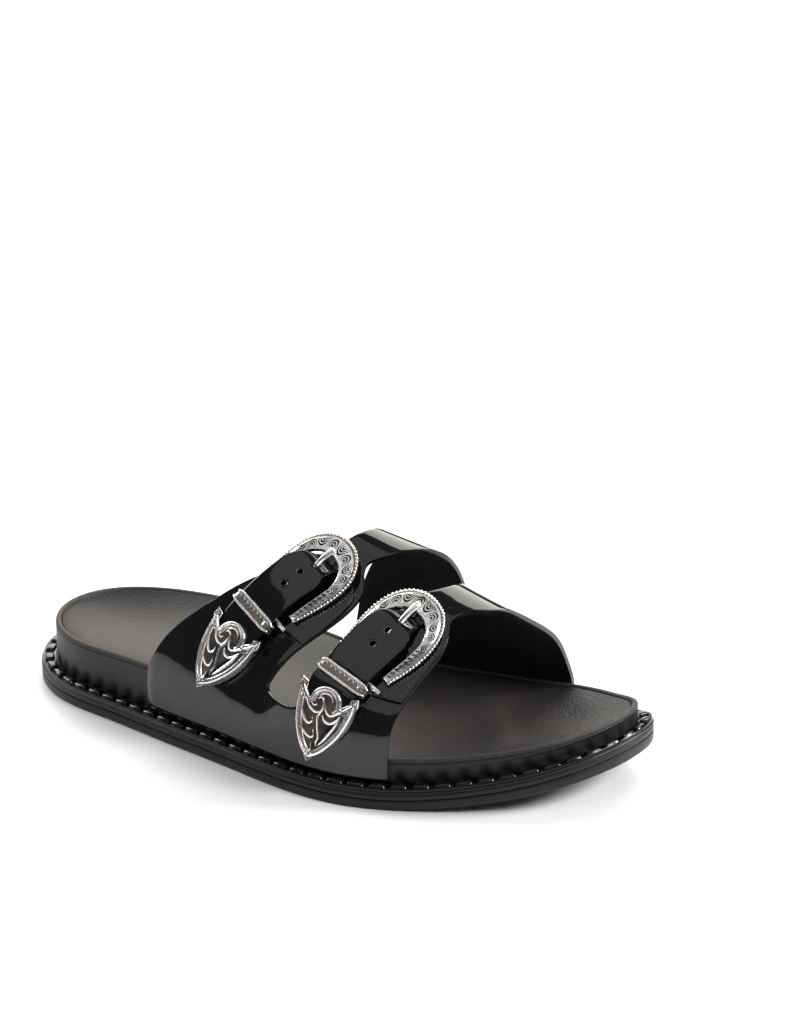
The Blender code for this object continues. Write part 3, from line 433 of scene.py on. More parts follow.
def makeBlock():
    count = 960
    share = scallops(count)

    def dent(depth):
        return lambda k: -depth * share[k] ** 1.5

    def up(rise):
        return lambda x, k: ledgeHeight(x) + rise

    def down(drop):
        return lambda x, k: rimHeight(x) - drop

    levels = [(-0.6, up(0.35)), (dent(0.9), up(0.8)), (dent(1.0), up(2.4)), (dent(0.85), up(3.4)),
        (dent(0.5), up(4.6)), (dent(0.15), up(5.8)), (0, up(6.8))]
    levels += [(0, down(3.6)), (0, down(2.5)), (0, down(2.1)), (-0.22, down(1.9)), (-0.22, down(1.75)),
        (0.02, down(1.55)), (0.0, down(1.1)),
               (-0.25, down(0.45)), (-0.7, down(0.08)), (-1.2, down(0.0)), (-1.7, down(0.12)), (-2.15,
                   down(0.45)), (-2.35, down(0.9)), (-2.6, down(3.0)), (-3.0, up(1.0))]
    bm, rings = stackRings(count, levels)
    # the rim bead faces take the lighter rim material, a painted highlight along the edge
    beadFrom = len(levels) - 10
    faces = set()
    for ring in rings[beadFrom:]:
        for v in ring:
            faces.update(v.link_faces)
    lower = set(rings[beadFrom - 1])
    for f in faces:
        if not any(v in lower for v in f.verts):
            f.material_index = 1
    capRing(bm, rings[0])
    capRing(bm, rings[-1])
    bmesh.ops.triangulate(bm, faces=[f for f in bm.faces if len(f.verts) > 4])
    bmesh.ops.recalc_face_normals(bm, faces=bm.faces)
    return newObject("footbedBlock", bm, [blockFoam, rimGrainHighlight], 60, "midsole")


def footbedDrop(x, across):  # depth of the footbed below its rim; across runs lateral to medial
    along = x / sole["length"]
    side = 2 * across - 1
    bowl = max(0.0, 1 - abs(side) ** 2.6)
    depth = float(dishCurve(along)[0, 0]) * sole["cup"] * bowl
    arch = math.exp(-(((along - 0.40) / 0.10) ** 2)) * max(0.0, side) ** 1.5 * sole["arch"] * bowl
    line = 0.80 - 0.035 * side - 0.03 * math.sin(2.4 * side)
    ridge = math.exp(-(((along - line) / 0.026) ** 2)) * bowl * sole["toeBar"]
    hollow = math.exp(-(((along - 0.89) / 0.05) ** 2) - ((side - 0.42) / 0.34) ** 2) * sole["toeHollow"]
    return 0.7 + depth - arch - ridge + hollow


def makeCover():
    rows, columns, edge = 150, 60, 2.2
    bm = bmesh.new()
    paintedCupShade = bm.verts.layers.float.new("paintedCupShade")
    bmesh.ops.create_grid(bm, x_segments=rows, y_segments=columns, size=0.5)
    for v in bm.verts:
        turn = (v.co.x + 0.5) * math.pi
        across = 0.5 - 0.5 * math.cos((v.co.y + 0.5) * math.pi)
        first, last = outlineAt(turn), outlineAt(2 * math.pi - turn)
        place = first + (last - first) * across
        # painted shade value: 0 at the footbed's edges, 1 in its middle
        v[paintedCupShade] = max(math.sin(turn) * math.sin(across * math.pi), 0.0) ** 0.5
        ahead = math.cos(turn)
        width = np.linalg.norm(last - first)
        if width > 1e-6:
            keep = max(0.0, width - 2 * edge) / width
            middle = (first + last) / 2
            place = middle + (place - middle) * keep
        place[0] = edge + (sole["length"] - 2 * edge) * (1 - ahead) / 2
        v.co = toScene((place[0], place[1], rimHeight(place[0]) - footbedDrop(place[0], across)))
    bmesh.ops.remove_doubles(bm, verts=bm.verts, dist=0.05 * mm)
    bmesh.ops.recalc_face_normals(bm, faces=bm.faces)
    if sum(f.normal.z for f in bm.faces) < 0:
        bmesh.ops.reverse_faces(bm, faces=bm.faces)
    addWall(newObject("footbedCover", bm, coverSuede, 80, "insole"), 1.1)


def makeRand():
    count = 720

    def up(rise):
        return lambda x, k: ledgeHeight(x) + rise

    levels = [(0.5, up(0.2)), (0.5, up(0.9)), (1.0, up(1.0)), (4.9, up(1.0)), (5.15, up(1.25)), (5.4, up(1.3)),
        (5.6, up(1.05)), (5.65, up(0.2))]
    bm, rings = stackRings(count, levels)
    bmesh.ops.bridge_loops(bm, edges=[e for e in bm.edges if e.is_boundary])
    for place, outward in studPlaces():
        made = bmesh.ops.create_cube(bm, size=1.0)["verts"]
        body = {f for v in made for f in v.link_faces}
        for v in made:
            top = v.co.z > 0
            v.co.x *= studs["length"] - (studs["slopeLong"] if top else 0)
            v.co.y *= studs["width"] - (studs["slopeWide"] if top else 0)
            v.co.z = (studs["height"] + studs["base"]) if top else studs["base"] - 0.1
        edges = [e for e in {e for f in body for e in f.edges} if max(v.co.z for v in e.verts) > 1]
        done = bmesh.ops.bevel(bm, geom=edges, offset=studs["round"], segments=2, profile=0.5, affect="EDGES",
            material=-1)
        verts = set(made) | set(done["verts"])
        ahead = np.array([-outward[1], outward[0]])
        for v in {v for v in verts if v.is_valid}:
            spot = place + ahead * v.co.x + outward * v.co.y
            v.co = toScene((spot[0], spot[1], ledgeHeight(spot[0]) + v.co.z))
    bmesh.ops.recalc_face_normals(bm, faces=bm.faces)
    return newObject("studdedRand", bm, studGloss, 50, "rand")


makeOutsole()
makeBlock()
makeCover()
makeRand()
print("sole made")


upper = {
    "thickness": 1.8, "gap": 0.5, "foot": 3.0,
    "across": [0, .03, .10, .24, .42, .60, .78, .91, .975, 1],
    "rear": {"rise": [0, .168, .375, .621, .832, 1.024, .960, .590, .257, 0], "height": 62, "fall": 0.193,
        "from": 100, "sweep": 38},
    "front": {"rise": [0, .319, .492, .709, .951, .977, .744, .483, .184, 0], "height": 52, "fall": 0.425,
        "from": 165, "sweep": 21},
    "slotFrom": 11.6, "slotRound": 3.2, "slotTo": 34,
}
strapEdges = {
    "front": [(0, 148.5, 186.8), (.09, 149.5, 186.8), (.18, 152.2, 186.8), (.30, 154, 186.8), (.37, 157, 185.5),
        (.43, 164, 181.5), (.47, 166.5, 181.5),
              (.53, 168.5, 185.5), (.60, 166.5, 186.8), (.70, 159, 187), (.85, 152, 187.5), (1, 151, 188)],
    "rear": [(0, 72, 129), (.09, 78, 129.5), (.18, 88, 132.2), (.26, 95.5, 136.2), (.34, 103, 137.5),
        (.40, 110, 134.5), (.45, 114.5, 129),
             (.50, 116, 132), (.56, 115, 134.5), (.66, 107, 135.2), (.82, 90, 133), (1, 79.5, 128)],
}
edgeCurves = {name: smoothCurve([r[0] for r in rows], [r[1:] for r in rows]) for name, rows in strapEdges.items()}
sectionStore = {}


def panelFoot(x):
    return ledgeHeight(x) + upper["foot"]


def strapSection(station, blend):  # outer surface across the shoe from one lateral station
    key = (round(station, 2), round(blend, 3))
    if key in sectionStore:
        return sectionStore[key]
    rear, front = upper["rear"], upper["front"]
    across = np.array(upper["across"])
    rearHeight = rear["height"] - rear["fall"] * (station - rear["from"])
    frontHeight = front["height"] - front["fall"] * (station - front["from"])
    sweep = rear["sweep"] + (front["sweep"] - rear["sweep"]) * blend
    rise = rearHeight * np.array(rear["rise"]) * (1 - blend) + frontHeight * np.array(front["rise"]) * blend
    far = station + sweep
    stand = upper["gap"] + upper["thickness"]
    nearY = reachOf(lateralCurve, station) - stand
    farY = reachOf(medialCurve, far) + stand
    nearZ, farZ = rimHeight(station), rimHeight(far)
    points = np.column_stack([station + sweep * across, nearY + (farY - nearY) * across,
        nearZ + (farZ - nearZ) * across + rise])
    points = np.vstack([(station, nearY, panelFoot(station)), points, (far, farY, panelFoot(far))])
    run = runOf(points)
    fine = smoothCurve(run, points)(np.linspace(0, run[-1], 241))
    length = runOf(fine)
    sectionStore[key] = (fine, length, nearZ - panelFoot(station), length[-1] - (farZ - panelFoot(far)))
    return sectionStore[key]


def strapPoint(blend, station, reach):
    fine, length, lateralRim, _ = strapSection(station, blend)
    return readRows(lateralRim + reach, length, fine)


def strapNormal(blend, station, reach):
    along = strapPoint(blend, station + 1, reach) - strapPoint(blend, station - 1, reach)
    across = strapPoint(blend, station, reach + 1.5) - strapPoint(blend, station, reach - 1.5)
    normal = np.cross(along, across)
    return normal / np.linalg.norm(normal)


def archRun(station, blend):
    _, _, lateralRim, medialRim = strapSection(station, blend)
    return medialRim - lateralRim


def makeUpper():
    rearColumns, webColumns, frontColumns, rows = 14, 12, 14, 150
    columns = rearColumns + webColumns + frontColumns
    bm = bmesh.new()
    bmesh.ops.create_grid(bm, x_segments=columns, y_segments=rows, size=0.5)
    wallRows = 8
    place = {}
    for v in bm.verts:
        place[v] = (round((v.co.x + 0.5) * columns), round((v.co.y + 0.5) * rows))
    slotLow = wallRows + 10
    slotHigh = rows - wallRows - 12
    gone = [v for v, (i, j) in place.items()
        if rearColumns < i < rearColumns + webColumns and slotLow < j < slotHigh]
    for v in gone:
        del place[v]
    bmesh.ops.delete(bm, geom=gone, context="VERTS")
    lowShare = (upper["slotFrom"] + upper["slotRound"]) / 160
    highShare = 1 - upper["slotTo"] / 160
    for v, (i, j) in place.items():
        if j <= wallRows:
            kind, share, arch = "lateral", j / wallRows, 0.0
        elif j >= rows - wallRows:
            kind, share, arch = "medial", (rows - j) / wallRows, 1.0
        else:
            kind = "arch"
            if j <= slotLow:
                arch = (j - wallRows) / (slotLow - wallRows) * lowShare
            elif j >= slotHigh:
                arch = 1 - (rows - wallRows - j) / (rows - wallRows - slotHigh) * (1 - highShare)
            else:
                arch = lowShare + (highShare - lowShare) * (j - slotLow) / (slotHigh - slotLow)
            share = arch
        rear, front = edgeCurves["rear"](arch)[0], edgeCurves["front"](arch)[0]
        if i <= rearColumns:
            station, blend = rear[0] + (rear[1] - rear[0]) * i / rearColumns, 0.0
        elif i >= rearColumns + webColumns:
            station = front[0] + (front[1] - front[0]) * (i - rearColumns - webColumns) / frontColumns
            blend = 1.0
        else:
            w = (i - rearColumns) / webColumns
            w = 0.5 - 0.5 * math.cos(w * math.pi)
            station = rear[1] + (front[0] - rear[1]) * w
            blend = w * w * (3 - 2 * w)
            if kind == "arch":
                bow = (1 - (1 - abs(2 * w - 1) ** 2.6) ** (1 / 2.6))
                if j <= slotLow:
                    share = (arch * (upper["slotFrom"] + upper["slotRound"] * bow)
                             / (upper["slotFrom"] + upper["slotRound"]))
                else:
                    end = upper["slotTo"] - 3.0 * (1 - bow)
                    share = 1 - (1 - arch) * end / upper["slotTo"]
        fine, length, lateralRim, medialRim = strapSection(station, blend)
        if kind == "lateral":
            run = lateralRim * share
        elif kind == "medial":
            run = length[-1] - (length[-1] - medialRim) * share
        else:
            run = lateralRim + (medialRim - lateralRim) * share
        v.co = toScene([np.interp(run, length, fine[:, k]) for k in range(3)])
    faceOut(bm, toScene((150, -50, 20)), Vector((0, -1, 0)))
    wall = addWall(newObject("patentUpper", bm, [patent, liningCloth], 60, "upper"), upper["thickness"],
        0.45)
    wall.material_offset = 1
    wall.material_offset_rim = 0


makeUpper()
print("upper made")


belts = {
    "front": {"station": 165.5, "reach": 33, "lean": 10.8, "layer": -6.5, "frame": (1.15, -0.026),
        "keeper": (-0.5, -5.4, 0.04), "tip": (0.6, -22.3, 0.05, -0.10)},
    "rear": {"station": 112.75, "reach": 41, "lean": 12.1, "layer": -2.4, "frame": (0.7, 0.038),
        "keeper": (-0.8, -5.0, 0.0), "tip": (-0.3, -24.8, 0.022, -0.08)},
}
buckle = {
    "half": 14.45, "opening": 9.85, "length": 39.1, "end": 8.5, "corner": 19, "lift": 1.6, "leg": 2.6, "lug": 3.6,
    "height": 2.8, "seat": 2.2, "tipSeat": 0.8, "tipLength": 27.8, "tipWidth": 23.0, "tipHeight": 4.2,
    "barSeat": 2.85, "barRadius": 0.9, "barLength": 25.2, "barSide": 1.0, "keeperLength": 5.0, "keeperWall": 0.8,
    "keeperSide": 0.85, "tailWidth": 19.2, "tailSide": -0.9, "tailThick": 1.4,
    "rise": [(-.024, 1.82, 1, 1), (.09, 2.19, 1, 1), (.20, 2.44, 1, 1), (.32, 2.62, 1, 1), (.435, 2.68, 1, 1),
        (.54, 2.52, .86, .9), (.60, 2.24, .68, .5),
             (.665, 1.62, .55, .1), (.731, .94, .49, 0), (.818, .94, .56, 0), (.941, .82, .66, 0)],
    "prong": [(.003, 1.06), (.179, 1.06), (.358, 1.18), (.486, 1.40), (.563, 1.75), (.640, 2.35), (.716, 2.84),
        (.780, 2.93), (.834, 2.93)],
    "strokeBold": 1.22, "backing": 1.2, "backingEnd": 33, "backingRound": 9, "tuckFrom": 9, "gap": 0.3,
}
buckle["keeperOpening"] = buckle["tailThick"] + 5 * buckle["gap"]
buckle["keeperHeight"] = buckle["keeperOpening"] + 2 * buckle["keeperWall"]
buckle["keeperSeat"] = (buckle["barSeat"] + buckle["barRadius"] - buckle["keeperWall"] - buckle["tailThick"] / 2
                        - buckle["gap"])


def beltLine(name):
    belt = dict(belts[name], name=name, blend=float(name == "front"))
    lean = math.radians(belt["lean"])
    steps = np.linspace(-39.9, 50.1, 181)
    spots = [(belt["station"] + math.sin(lean) * s, belt["reach"] + math.cos(lean) * s) for s in steps]
    points = np.array([strapPoint(belt["blend"], *s) for s in spots])
    up = np.array([strapNormal(belt["blend"], *s) for s in spots])
    for _ in range(48):
        up[1:-1] = (up[:-2] + 2 * up[1:-1] + up[2:]) / 4
    ahead = np.gradient(points, axis=0)
    belt["points"], belt["steps"], belt["leanTurn"] = points, steps, lean
    belt["ahead"] = ahead / np.linalg.norm(ahead, axis=1)[:, None]
    belt["up"] = up / np.linalg.norm(up, axis=1)[:, None]
    run = runOf(points)
    belt["run"] = run - np.interp(0, steps, run)
    return belt


def beltWays(belt, a):  # across, ahead and up at a place along the belt
    ahead = readRows(a, belt["run"], belt["ahead"])
    up = readRows(a, belt["run"], belt["up"])
    across = np.cross(ahead, up)
    across /= np.linalg.norm(across)
    up = np.cross(across, ahead)
    return across, ahead / np.linalg.norm(ahead), up / np.linalg.norm(up)


def wrap(belt, c, a, h):  # from across, along and height above the strap to the shoe
    centre = readRows(a, belt["run"], belt["points"])
    across, _, up = beltWays(belt, a)
    return centre + across * c + up * h


def seat(belt, along, height, side=0.0, turn=0.0, tilt=0.0):  # the same for a stiff piece
    across, ahead, up = beltWays(belt, along)
    centre = wrap(belt, side, along, height)
    ahead, up = ahead * math.cos(tilt) + up * math.sin(tilt), up * math.cos(tilt) - ahead * math.sin(tilt)
    across, ahead = (across * math.cos(turn) + ahead * math.sin(turn),
                     ahead * math.cos(turn) - across * math.sin(turn))
    return lambda c, a, h: centre + across * c + ahead * a + up * h


def addSheet(bm, rows, columns, place, look=0):  # a grid mapped by place(u, v), both from 0 to 1
    old = set(bm.verts)
    bmesh.ops.create_grid(bm, x_segments=rows, y_segments=columns, size=0.5)
    made = [v for v in bm.verts if v not in old]
    for f in {f for v in made for f in v.link_faces}:
        middle = f.calc_center_median()
        f.material_index = look(middle.x + 0.5, middle.y + 0.5) if callable(look) else look
    for v in made:
        v.co = toScene(place(min(max(v.co.x + 0.5, 0), 1), min(max(v.co.y + 0.5, 0), 1)))
    return made


def closeSeams(bm, verts=None):
    bmesh.ops.remove_doubles(bm, verts=verts or bm.verts, dist=0.004 * mm)
    bmesh.ops.recalc_face_normals(bm, faces=bm.faces)


def addWire(bm, path, radius, place, rows=14, sides=5, flat=0.8, look=0):  # a tapered thread laid on a surface
    path = np.asarray(path, float)
    run = runOf(path)
    curve = smoothCurve(run, path)

    def spot(u, v):
        p = curve(u * run[-1])[0]
        q = curve(min(u + 0.02, 1) * run[-1])[0] - curve(max(u - 0.02, 0) * run[-1])[0]
        q /= np.linalg.norm(q) + 1e-9
        thick = radius * min(1.0, (max(4.5 * u * (1 - u), 0.0)) ** 0.5)
        turn = 2 * math.pi * v
        return place(p[0] - q[1] * math.cos(turn) * thick, p[1] + q[0] * math.cos(turn) * thick,
            math.sin(turn) * thick * flat)

    made = addSheet(bm, rows, sides, spot, look)
    closeSeams(bm, made)


def spiral(centre, first, last, turnFrom, turnTo, stretch=1.0, count=12):
    out = []
    for t in np.linspace(0, 1, count):
        r = first + (last - first) * t
        turn = math.radians(turnFrom + (turnTo - turnFrom) * t)
        out.append((centre[0] + r * math.cos(turn), centre[1] + r * math.sin(turn) * stretch))
    return out


def framePlace(belt, c, a, h):
    side, turn = belt["frame"]
    centre = buckle["corner"] - buckle["lug"]
    end = -1.1 + 0.9 + 0.3 + buckle["lug"]
    share = min(max((a / buckle["length"] - 0.2) / 0.67, 0.0), 1.0)
    lift = share * share * (3 - 2 * share) * buckle["lift"]
    if a > end:
        c, a = (c * math.cos(turn) - (a - centre) * math.sin(turn),
                c * math.sin(turn) + (a - centre) * math.cos(turn) + centre)
    return wrap(belt, c + side, a, buckle["seat"] + lift + h)


def horseshoe(half, top, foot, end, at):  # at runs from one leg's end (0) over the crown (0.5) to the other (1)
    corner, power = buckle["corner"], 2 / 2.25
    mirror = -1 if at > 0.5 else 1
    t = 1 - abs(2 * at - 1)
    legShare = 0.36
    if t < legShare:
        k = t / legShare
        return mirror * (foot + (half - foot) * math.sin(k * math.pi / 2)), end + (corner - end) * k
    turn = (t - legShare) / (1 - legShare) * math.pi / 2
    c = half * max(math.cos(turn), 0.0) ** power
    return mirror * c, corner + (top - corner) * math.sin(turn) ** power


def frameLine(at, out):  # place on the frame's plan: out runs from its inner to its outer edge
    end = 0.1 + buckle["lug"]
    ci, ai = horseshoe(buckle["opening"], buckle["length"] - buckle["end"], buckle["opening"], end, at)
    co, ao = horseshoe(buckle["half"], buckle["length"], buckle["opening"] + buckle["leg"], end, at)
    return ci + (co - ci) * out, ai + (ao - ai) * out


def evenFrame(count, out):  # shares that step evenly along one line of the frame
    dense = np.linspace(0, 1, 600)
    spots = np.array([frameLine(t, out) for t in dense])
    run = runOf(spots)
    return np.interp(np.linspace(0, run[-1], count), run, dense), run[-1]


frameProfile = [(0, 0), (0, .70), (.02, .80), (.06, .86), (.11, .86), (.15, .78), (.20, .78), (.45, .96),
    (.70, .78), (.77, .70), (.80, .74), (.85, .72),
                (.87, .60), (.90, .46), (.97, .44), (1, .40), (1, 0)]


def frameTop(out):
    return float(np.interp(out, [p[0] for p in frameProfile[1:-1]],
        [p[1] for p in frameProfile[1:-1]])) * buckle["height"]


def makeFrame(belt):
    bm = bmesh.new()
    steps, _ = evenFrame(161, 0.5)
    count = len(frameProfile)

    def place(u, v):
        at = float(np.interp(u, np.linspace(0, 1, 161), steps))
        out, rise = frameProfile[round(v * count) % count]
        c, a = frameLine(at, out)
        return framePlace(belt, c, a, rise * buckle["height"])

    addSheet(bm, 160, count, place, lambda u, v: int(10 <= int(v * count) < 13))
    closeSeams(bm)
    bmesh.ops.holes_fill(bm, edges=[e for e in bm.edges if e.is_boundary], sides=0)
    _, around = evenFrame(2, 0.94)
    number = int(around / 1.4)
    beadAt, _ = evenFrame(number, 0.94)
    for k in range(number):
        c, a = frameLine(beadAt[k], 0.945)
        c2, a2 = frameLine(min(beadAt[k] + 0.004, 1), 0.945)
        c1, a1 = frameLine(max(beadAt[k] - 0.004, 0), 0.945)
        way = np.array([c2 - c1, a2 - a1])
        way /= np.linalg.norm(way)
        for v in bmesh.ops.create_uvsphere(bm, u_segments=8, v_segments=5, radius=1.0)["verts"]:
            along, across, up = v.co.x * 0.50 + v.co.y * 0.154, v.co.y * 0.66, v.co.z * 0.80
            v.co = toScene(framePlace(belt, c + way[0] * along - way[1] * across,
                a + way[1] * along + way[0] * across, 0.46 * buckle["height"] + up))
    dense = np.linspace(0, 1, 600)
    spots = np.array([frameLine(t, 0.46) for t in dense])
    lengths = runOf(spots)
    total = lengths[-1]

    def put(along, across, up):  # along in millimetres round the frame, across as a share of half the band
        at = float(np.interp(along, lengths, dense))
        out = min(max(0.46 + across * 0.27, 0.12), 0.80)
        c, a = frameLine(at, out)
        return framePlace(belt, c, a, frameTop(out) + up)

    def engrave(path, radius, rows, sides=5, flat=0.6):  # a dark line let into the band
        addWire(bm, path, radius, put, rows, sides, flat, 2)

    legLong, notchStep, scrollStep = 17.0, 2.1, 4.3
    for place in np.arange(1.4, legLong, notchStep):  # notches and leaf strokes on the legs
        for start, way in ((place, 1), (total - place, -1)):
            engrave([(start, -1.15), (start + way * 0.9, -0.75), (start + way * 1.25, -0.2)], 0.36, 8, 6, 0.5)
            engrave([(start, 0.15), (start + way * 0.9, 0.35), (start + way * 1.5, 0.95)], 0.15, 8)
    for first, last in ((0.8, legLong), (total - legLong, total - 0.8)):
        engrave([(at, -0.05) for at in np.linspace(first, last, 8)], 0.13, 40)
    for k, place in enumerate(np.arange(legLong + 2.6, total - legLong - 1.0, scrollStep)):
        flip = 1 if k % 2 else -1
        for reach in (0.3, 0.62, 0.95):  # nested scrolls round the crown
            turns = np.linspace(-0.25, math.pi + 0.25, 12)
            long, deep = 2.1 * reach, 1.7 * reach
            engrave([(place + long * math.cos(t), flip * (deep * math.sin(t) - 0.85)) for t in turns], 0.2, 26)
    newObject(belt["name"] + "Frame", bm, [silverBright, silverDark, engraving], 45, belt["name"] + "_frame")


def tailLine(belt):  # middle line of the belt from tip to crown: points, across, up, width shares
    tipAcross, tipPlace, tipTurn, tipTilt = belt["tip"]
    tip = seat(belt, tipPlace, buckle["tipSeat"] + buckle["tipHeight"] / 2, tipAcross, tipTurn, tipTilt)
    origin = tip(0, 0, 0)
    ways = (tip(1, 0, 0) - origin, tip(0, 1, 0) - origin)
    mouth = buckle["tipLength"] / 2
    knots = [(tip(0, a, 0), ways, 1.0) for a in (mouth - 5.7, mouth)]
    side, at, _ = belt["keeper"]
    keeper = seat(belt, at, buckle["keeperSeat"] + buckle["keeperHeight"] / 2, side)
    knots.append((keeper(0, 0, 0), beltWays(belt, at), 1.0))
    for along, height, width, share in buckle["rise"]:
        spot = wrap(belt, buckle["tailSide"] * share, along * buckle["length"], height * buckle["height"])
        knots.append((spot, (beltWays(belt, along * buckle["length"])[0], None), width))
    places = np.array([k[0] for k in knots])
    ahead = []
    for k, (_, given, _) in enumerate(knots):
        way = places[min(k + 1, len(knots) - 1)] - places[max(k - 1, 0)]
        ahead.append(way / np.linalg.norm(way) if given[1] is None else given[1])
    points, sides, widths = [], [], []
    for k in range(len(knots) - 1):
        reach = np.linalg.norm(places[k + 1] - places[k])
        steps = max(3, int(reach / 0.7))
        for t in np.linspace(0, 1, steps + 1)[:None if k == len(knots) - 2 else -1]:
            one, two = 2 * t**3 - 3 * t**2 + 1, t**3 - 2 * t**2 + t
            three, four = -2 * t**3 + 3 * t**2, t**3 - t**2
            points.append(one * places[k] + three * places[k + 1] + (two * ahead[k] + four * ahead[k + 1]) * reach)
            sides.append(knots[k][1][0] * (1 - t) + knots[k + 1][1][0] * t)
            smooth = t * t * (3 - 2 * t)
            widths.append(knots[k][2] * (1 - smooth) + knots[k + 1][2] * smooth)
    points, sides = np.array(points), np.array(sides)
    way = np.gradient(points, axis=0)
    way /= np.linalg.norm(way, axis=1)[:, None]
    sides -= way * np.sum(sides * way, axis=1)[:, None]
    sides /= np.linalg.norm(sides, axis=1)[:, None]
    run = runOf(points)
    return points, sides, np.cross(sides, way), np.array(widths), run


def makeTail(belt):
    points, sides, up, widths, run = tailLine(belt)
    hole = wrap(belt, buckle["tailSide"], 24.5, 5.6)
    near = run[int(np.argmin(np.linalg.norm(points - hole, axis=1)))]
    holes = [near - 0.3, near - 7.5, near - 15.0]
    rows, columns = int(run[-1] / 0.5), 36
    thick = buckle["tailThick"]

    def spot(along, share, lift):
        p = readRows(along, run, points)
        s = readRows(along, run, sides)
        n = readRows(along, run, up)
        half = buckle["tailWidth"] / 2 * float(np.interp(along, run, widths))
        return p + s * share * half + n * lift

    def place(u, v):
        along, share = u * run[-1], 2 * v - 1
        lift = thick / 2 - 0.18 * abs(share) ** 8
        for k, h in enumerate(holes):
            d = math.hypot(along - h, share * buckle["tailWidth"] / 2)
            radius = 1.25 if k else 1.5
            if 0.2 < d < 3.2:
                lift -= 0.28 * math.exp(-((d - radius) / 0.55) ** 2)
        return spot(along, share, lift)

    bm = bmesh.new()
    addSheet(bm, rows, columns, place)
    for k, h in enumerate(holes):
        radius = 1.25 if k else 1.5
        centre = toScene(place(h / run[-1], 0.5))
        inner = [v for v in bm.verts if (v.co - centre).length < radius * mm]
        bmesh.ops.delete(bm, geom=inner, context="VERTS")
        rim = [v for v in bm.verts if v.is_boundary and (v.co - centre).length < (radius + 1.4) * mm]
        for v in rim:
            v.co = centre + (v.co - centre).normalized() * radius * mm
    middle = len(points) // 2
    faceOut(bm, toScene(points[middle]), Vector(up[middle]))
    addWall(newObject(belt["name"] + "Tail", bm, patentFlat, 60, belt["name"] + "_tail"), thick, 0.3)
    bm = bmesh.new()  # thin ring round each punched hole; its lighter grey is a painted highlight
    for h in holes[1:]:
        def ring(u, v, h=h):
            turn, round2 = 2 * math.pi * u, 2 * math.pi * v
            r = 1.38 + 0.13 * math.cos(round2)
            return spot(h + r * math.sin(turn), r * math.cos(turn) / (buckle["tailWidth"] / 2),
                thick / 2 - 0.16 + 0.13 * math.sin(round2))
        addSheet(bm, 24, 6, ring)
    closeSeams(bm)
    newObject(belt["name"] + "HoleRings", bm, ringPaintedHighlight, 60)


def makeBacking(belt):
    bm = bmesh.new()
    curve = edgeCurves[belt["name"]]
    high = 0.3 + buckle["backing"]

    def spot(u, v, lift):
        along = belt["layer"] + (buckle["backingEnd"] - belt["layer"]) * u
        s = float(np.interp(along, belt["run"], belt["steps"]))
        station = belt["station"] + math.sin(belt["leanTurn"]) * s
        reach = belt["reach"] + math.cos(belt["leanTurn"]) * s
        share = reach / archRun(station, belt["blend"])
        low, top = curve(share)[0]
        rounding = max(0.0, along - buckle["backingEnd"] + buckle["backingRound"]) / (buckle["backingRound"] + 0.6)
        width = math.sqrt(1 - rounding * rounding)
        low, top = station + (low + 0.6 - station) * width, station + (top - 0.6 - station) * width
        tuck = 1 - min(max((along - 4) / 14, 0.0), 1.0)
        if low < station - buckle["tuckFrom"]:  # the heel side stays under the belt
            low += (station - buckle["tailWidth"] / 2 + 0.8 - low) * tuck * tuck * (3 - 2 * tuck)
        at = low + (top - low) * v
        place = (belt["blend"], at, reach - (at - station) * math.tan(belt["leanTurn"]))
        return strapPoint(*place) + strapNormal(*place) * lift

    belt["backingSpot"] = spot
    addSheet(bm, 60, 30, lambda u, v: spot(u, v, high))
    faceOut(bm, toScene(spot(0.5, 0.5, high)), Vector(strapNormal(belt["blend"], belt["station"], belt["reach"])))
    made = newObject(belt["name"] + "Backing", bm, patentFlat, 60, belt["name"] + "_backing")
    addWall(made, buckle["backing"], 0.3)


def addStitches(bm, line, pitch=2.4, length=1.5, radius=0.21):  # line: list of (point, up) along the seam
    places = np.array([p for p, _ in line])
    ups = np.array([n for _, n in line])
    run = runOf(places)
    for k in range(int(run[-1] / pitch)):
        at = (k + 0.5) * pitch
        p = readRows(at, run, places)
        q = readRows(at + 0.4, run, places) - p
        n = readRows(at, run, ups)
        q /= np.linalg.norm(q)
        side = np.cross(q, n)
        made = bmesh.ops.create_uvsphere(bm, u_segments=6, v_segments=4, radius=1.0)["verts"]
        for v in made:
            rise = n * (v.co.y * radius * 0.7 + 0.05)
            v.co = toScene(p + q * v.co.z * length / 2 + side * v.co.x * radius + rise)


def makeStitches(belt):
    bm = bmesh.new()
    spot = belt["backingSpot"]
    high = 0.3 + buckle["backing"]
    line = [(0.025, v) for v in np.linspace(0.05, 0.95, 30)]
    sideRight = [(u, 0.945) for u in np.linspace(0.03, 0.97, 60)]
    sideLeft = [(u, 0.055) for u in np.linspace(0.03, 0.97, 60)]
    for path in (line, sideRight, sideLeft):
        pts = [(spot(u, v, high), (spot(u, v, high + 1) - spot(u, v, high))) for u, v in path]
        addStitches(bm, pts)
    bmesh.ops.recalc_face_normals(bm, faces=bm.faces)
    newObject(belt["name"] + "Stitches", bm, threadBlack, 60)


def addRod(bm, path, radius, sides=12, rows=40, shape=None, look=0):
    path = np.asarray(path, float)
    run = runOf(path)
    curve = smoothCurve(run, path)
    ahead0 = Vector(path[-1] - path[0]).normalized()
    side = np.array(ahead0.orthogonal().normalized())

    def place(u, v):
        p = curve(u * run[-1])[0]
        q = curve(min(u + .01, 1) * run[-1])[0] - curve(max(u - .01, 0) * run[-1])[0]
        q /= np.linalg.norm(q)
        s = side - q * (side @ q)
        s /= np.linalg.norm(s)
        n = np.cross(q, s)
        turn = 2 * math.pi * v
        r = radius * (shape(u, turn) if shape else 1.0)
        return p + (s * math.cos(turn) + n * math.sin(turn)) * r

    made = addSheet(bm, rows, sides, place, look)
    closeSeams(bm, made)
    bmesh.ops.holes_fill(bm, edges=[e for e in {e for v in made if v.is_valid for e in v.link_edges}
        if e.is_boundary], sides=0)


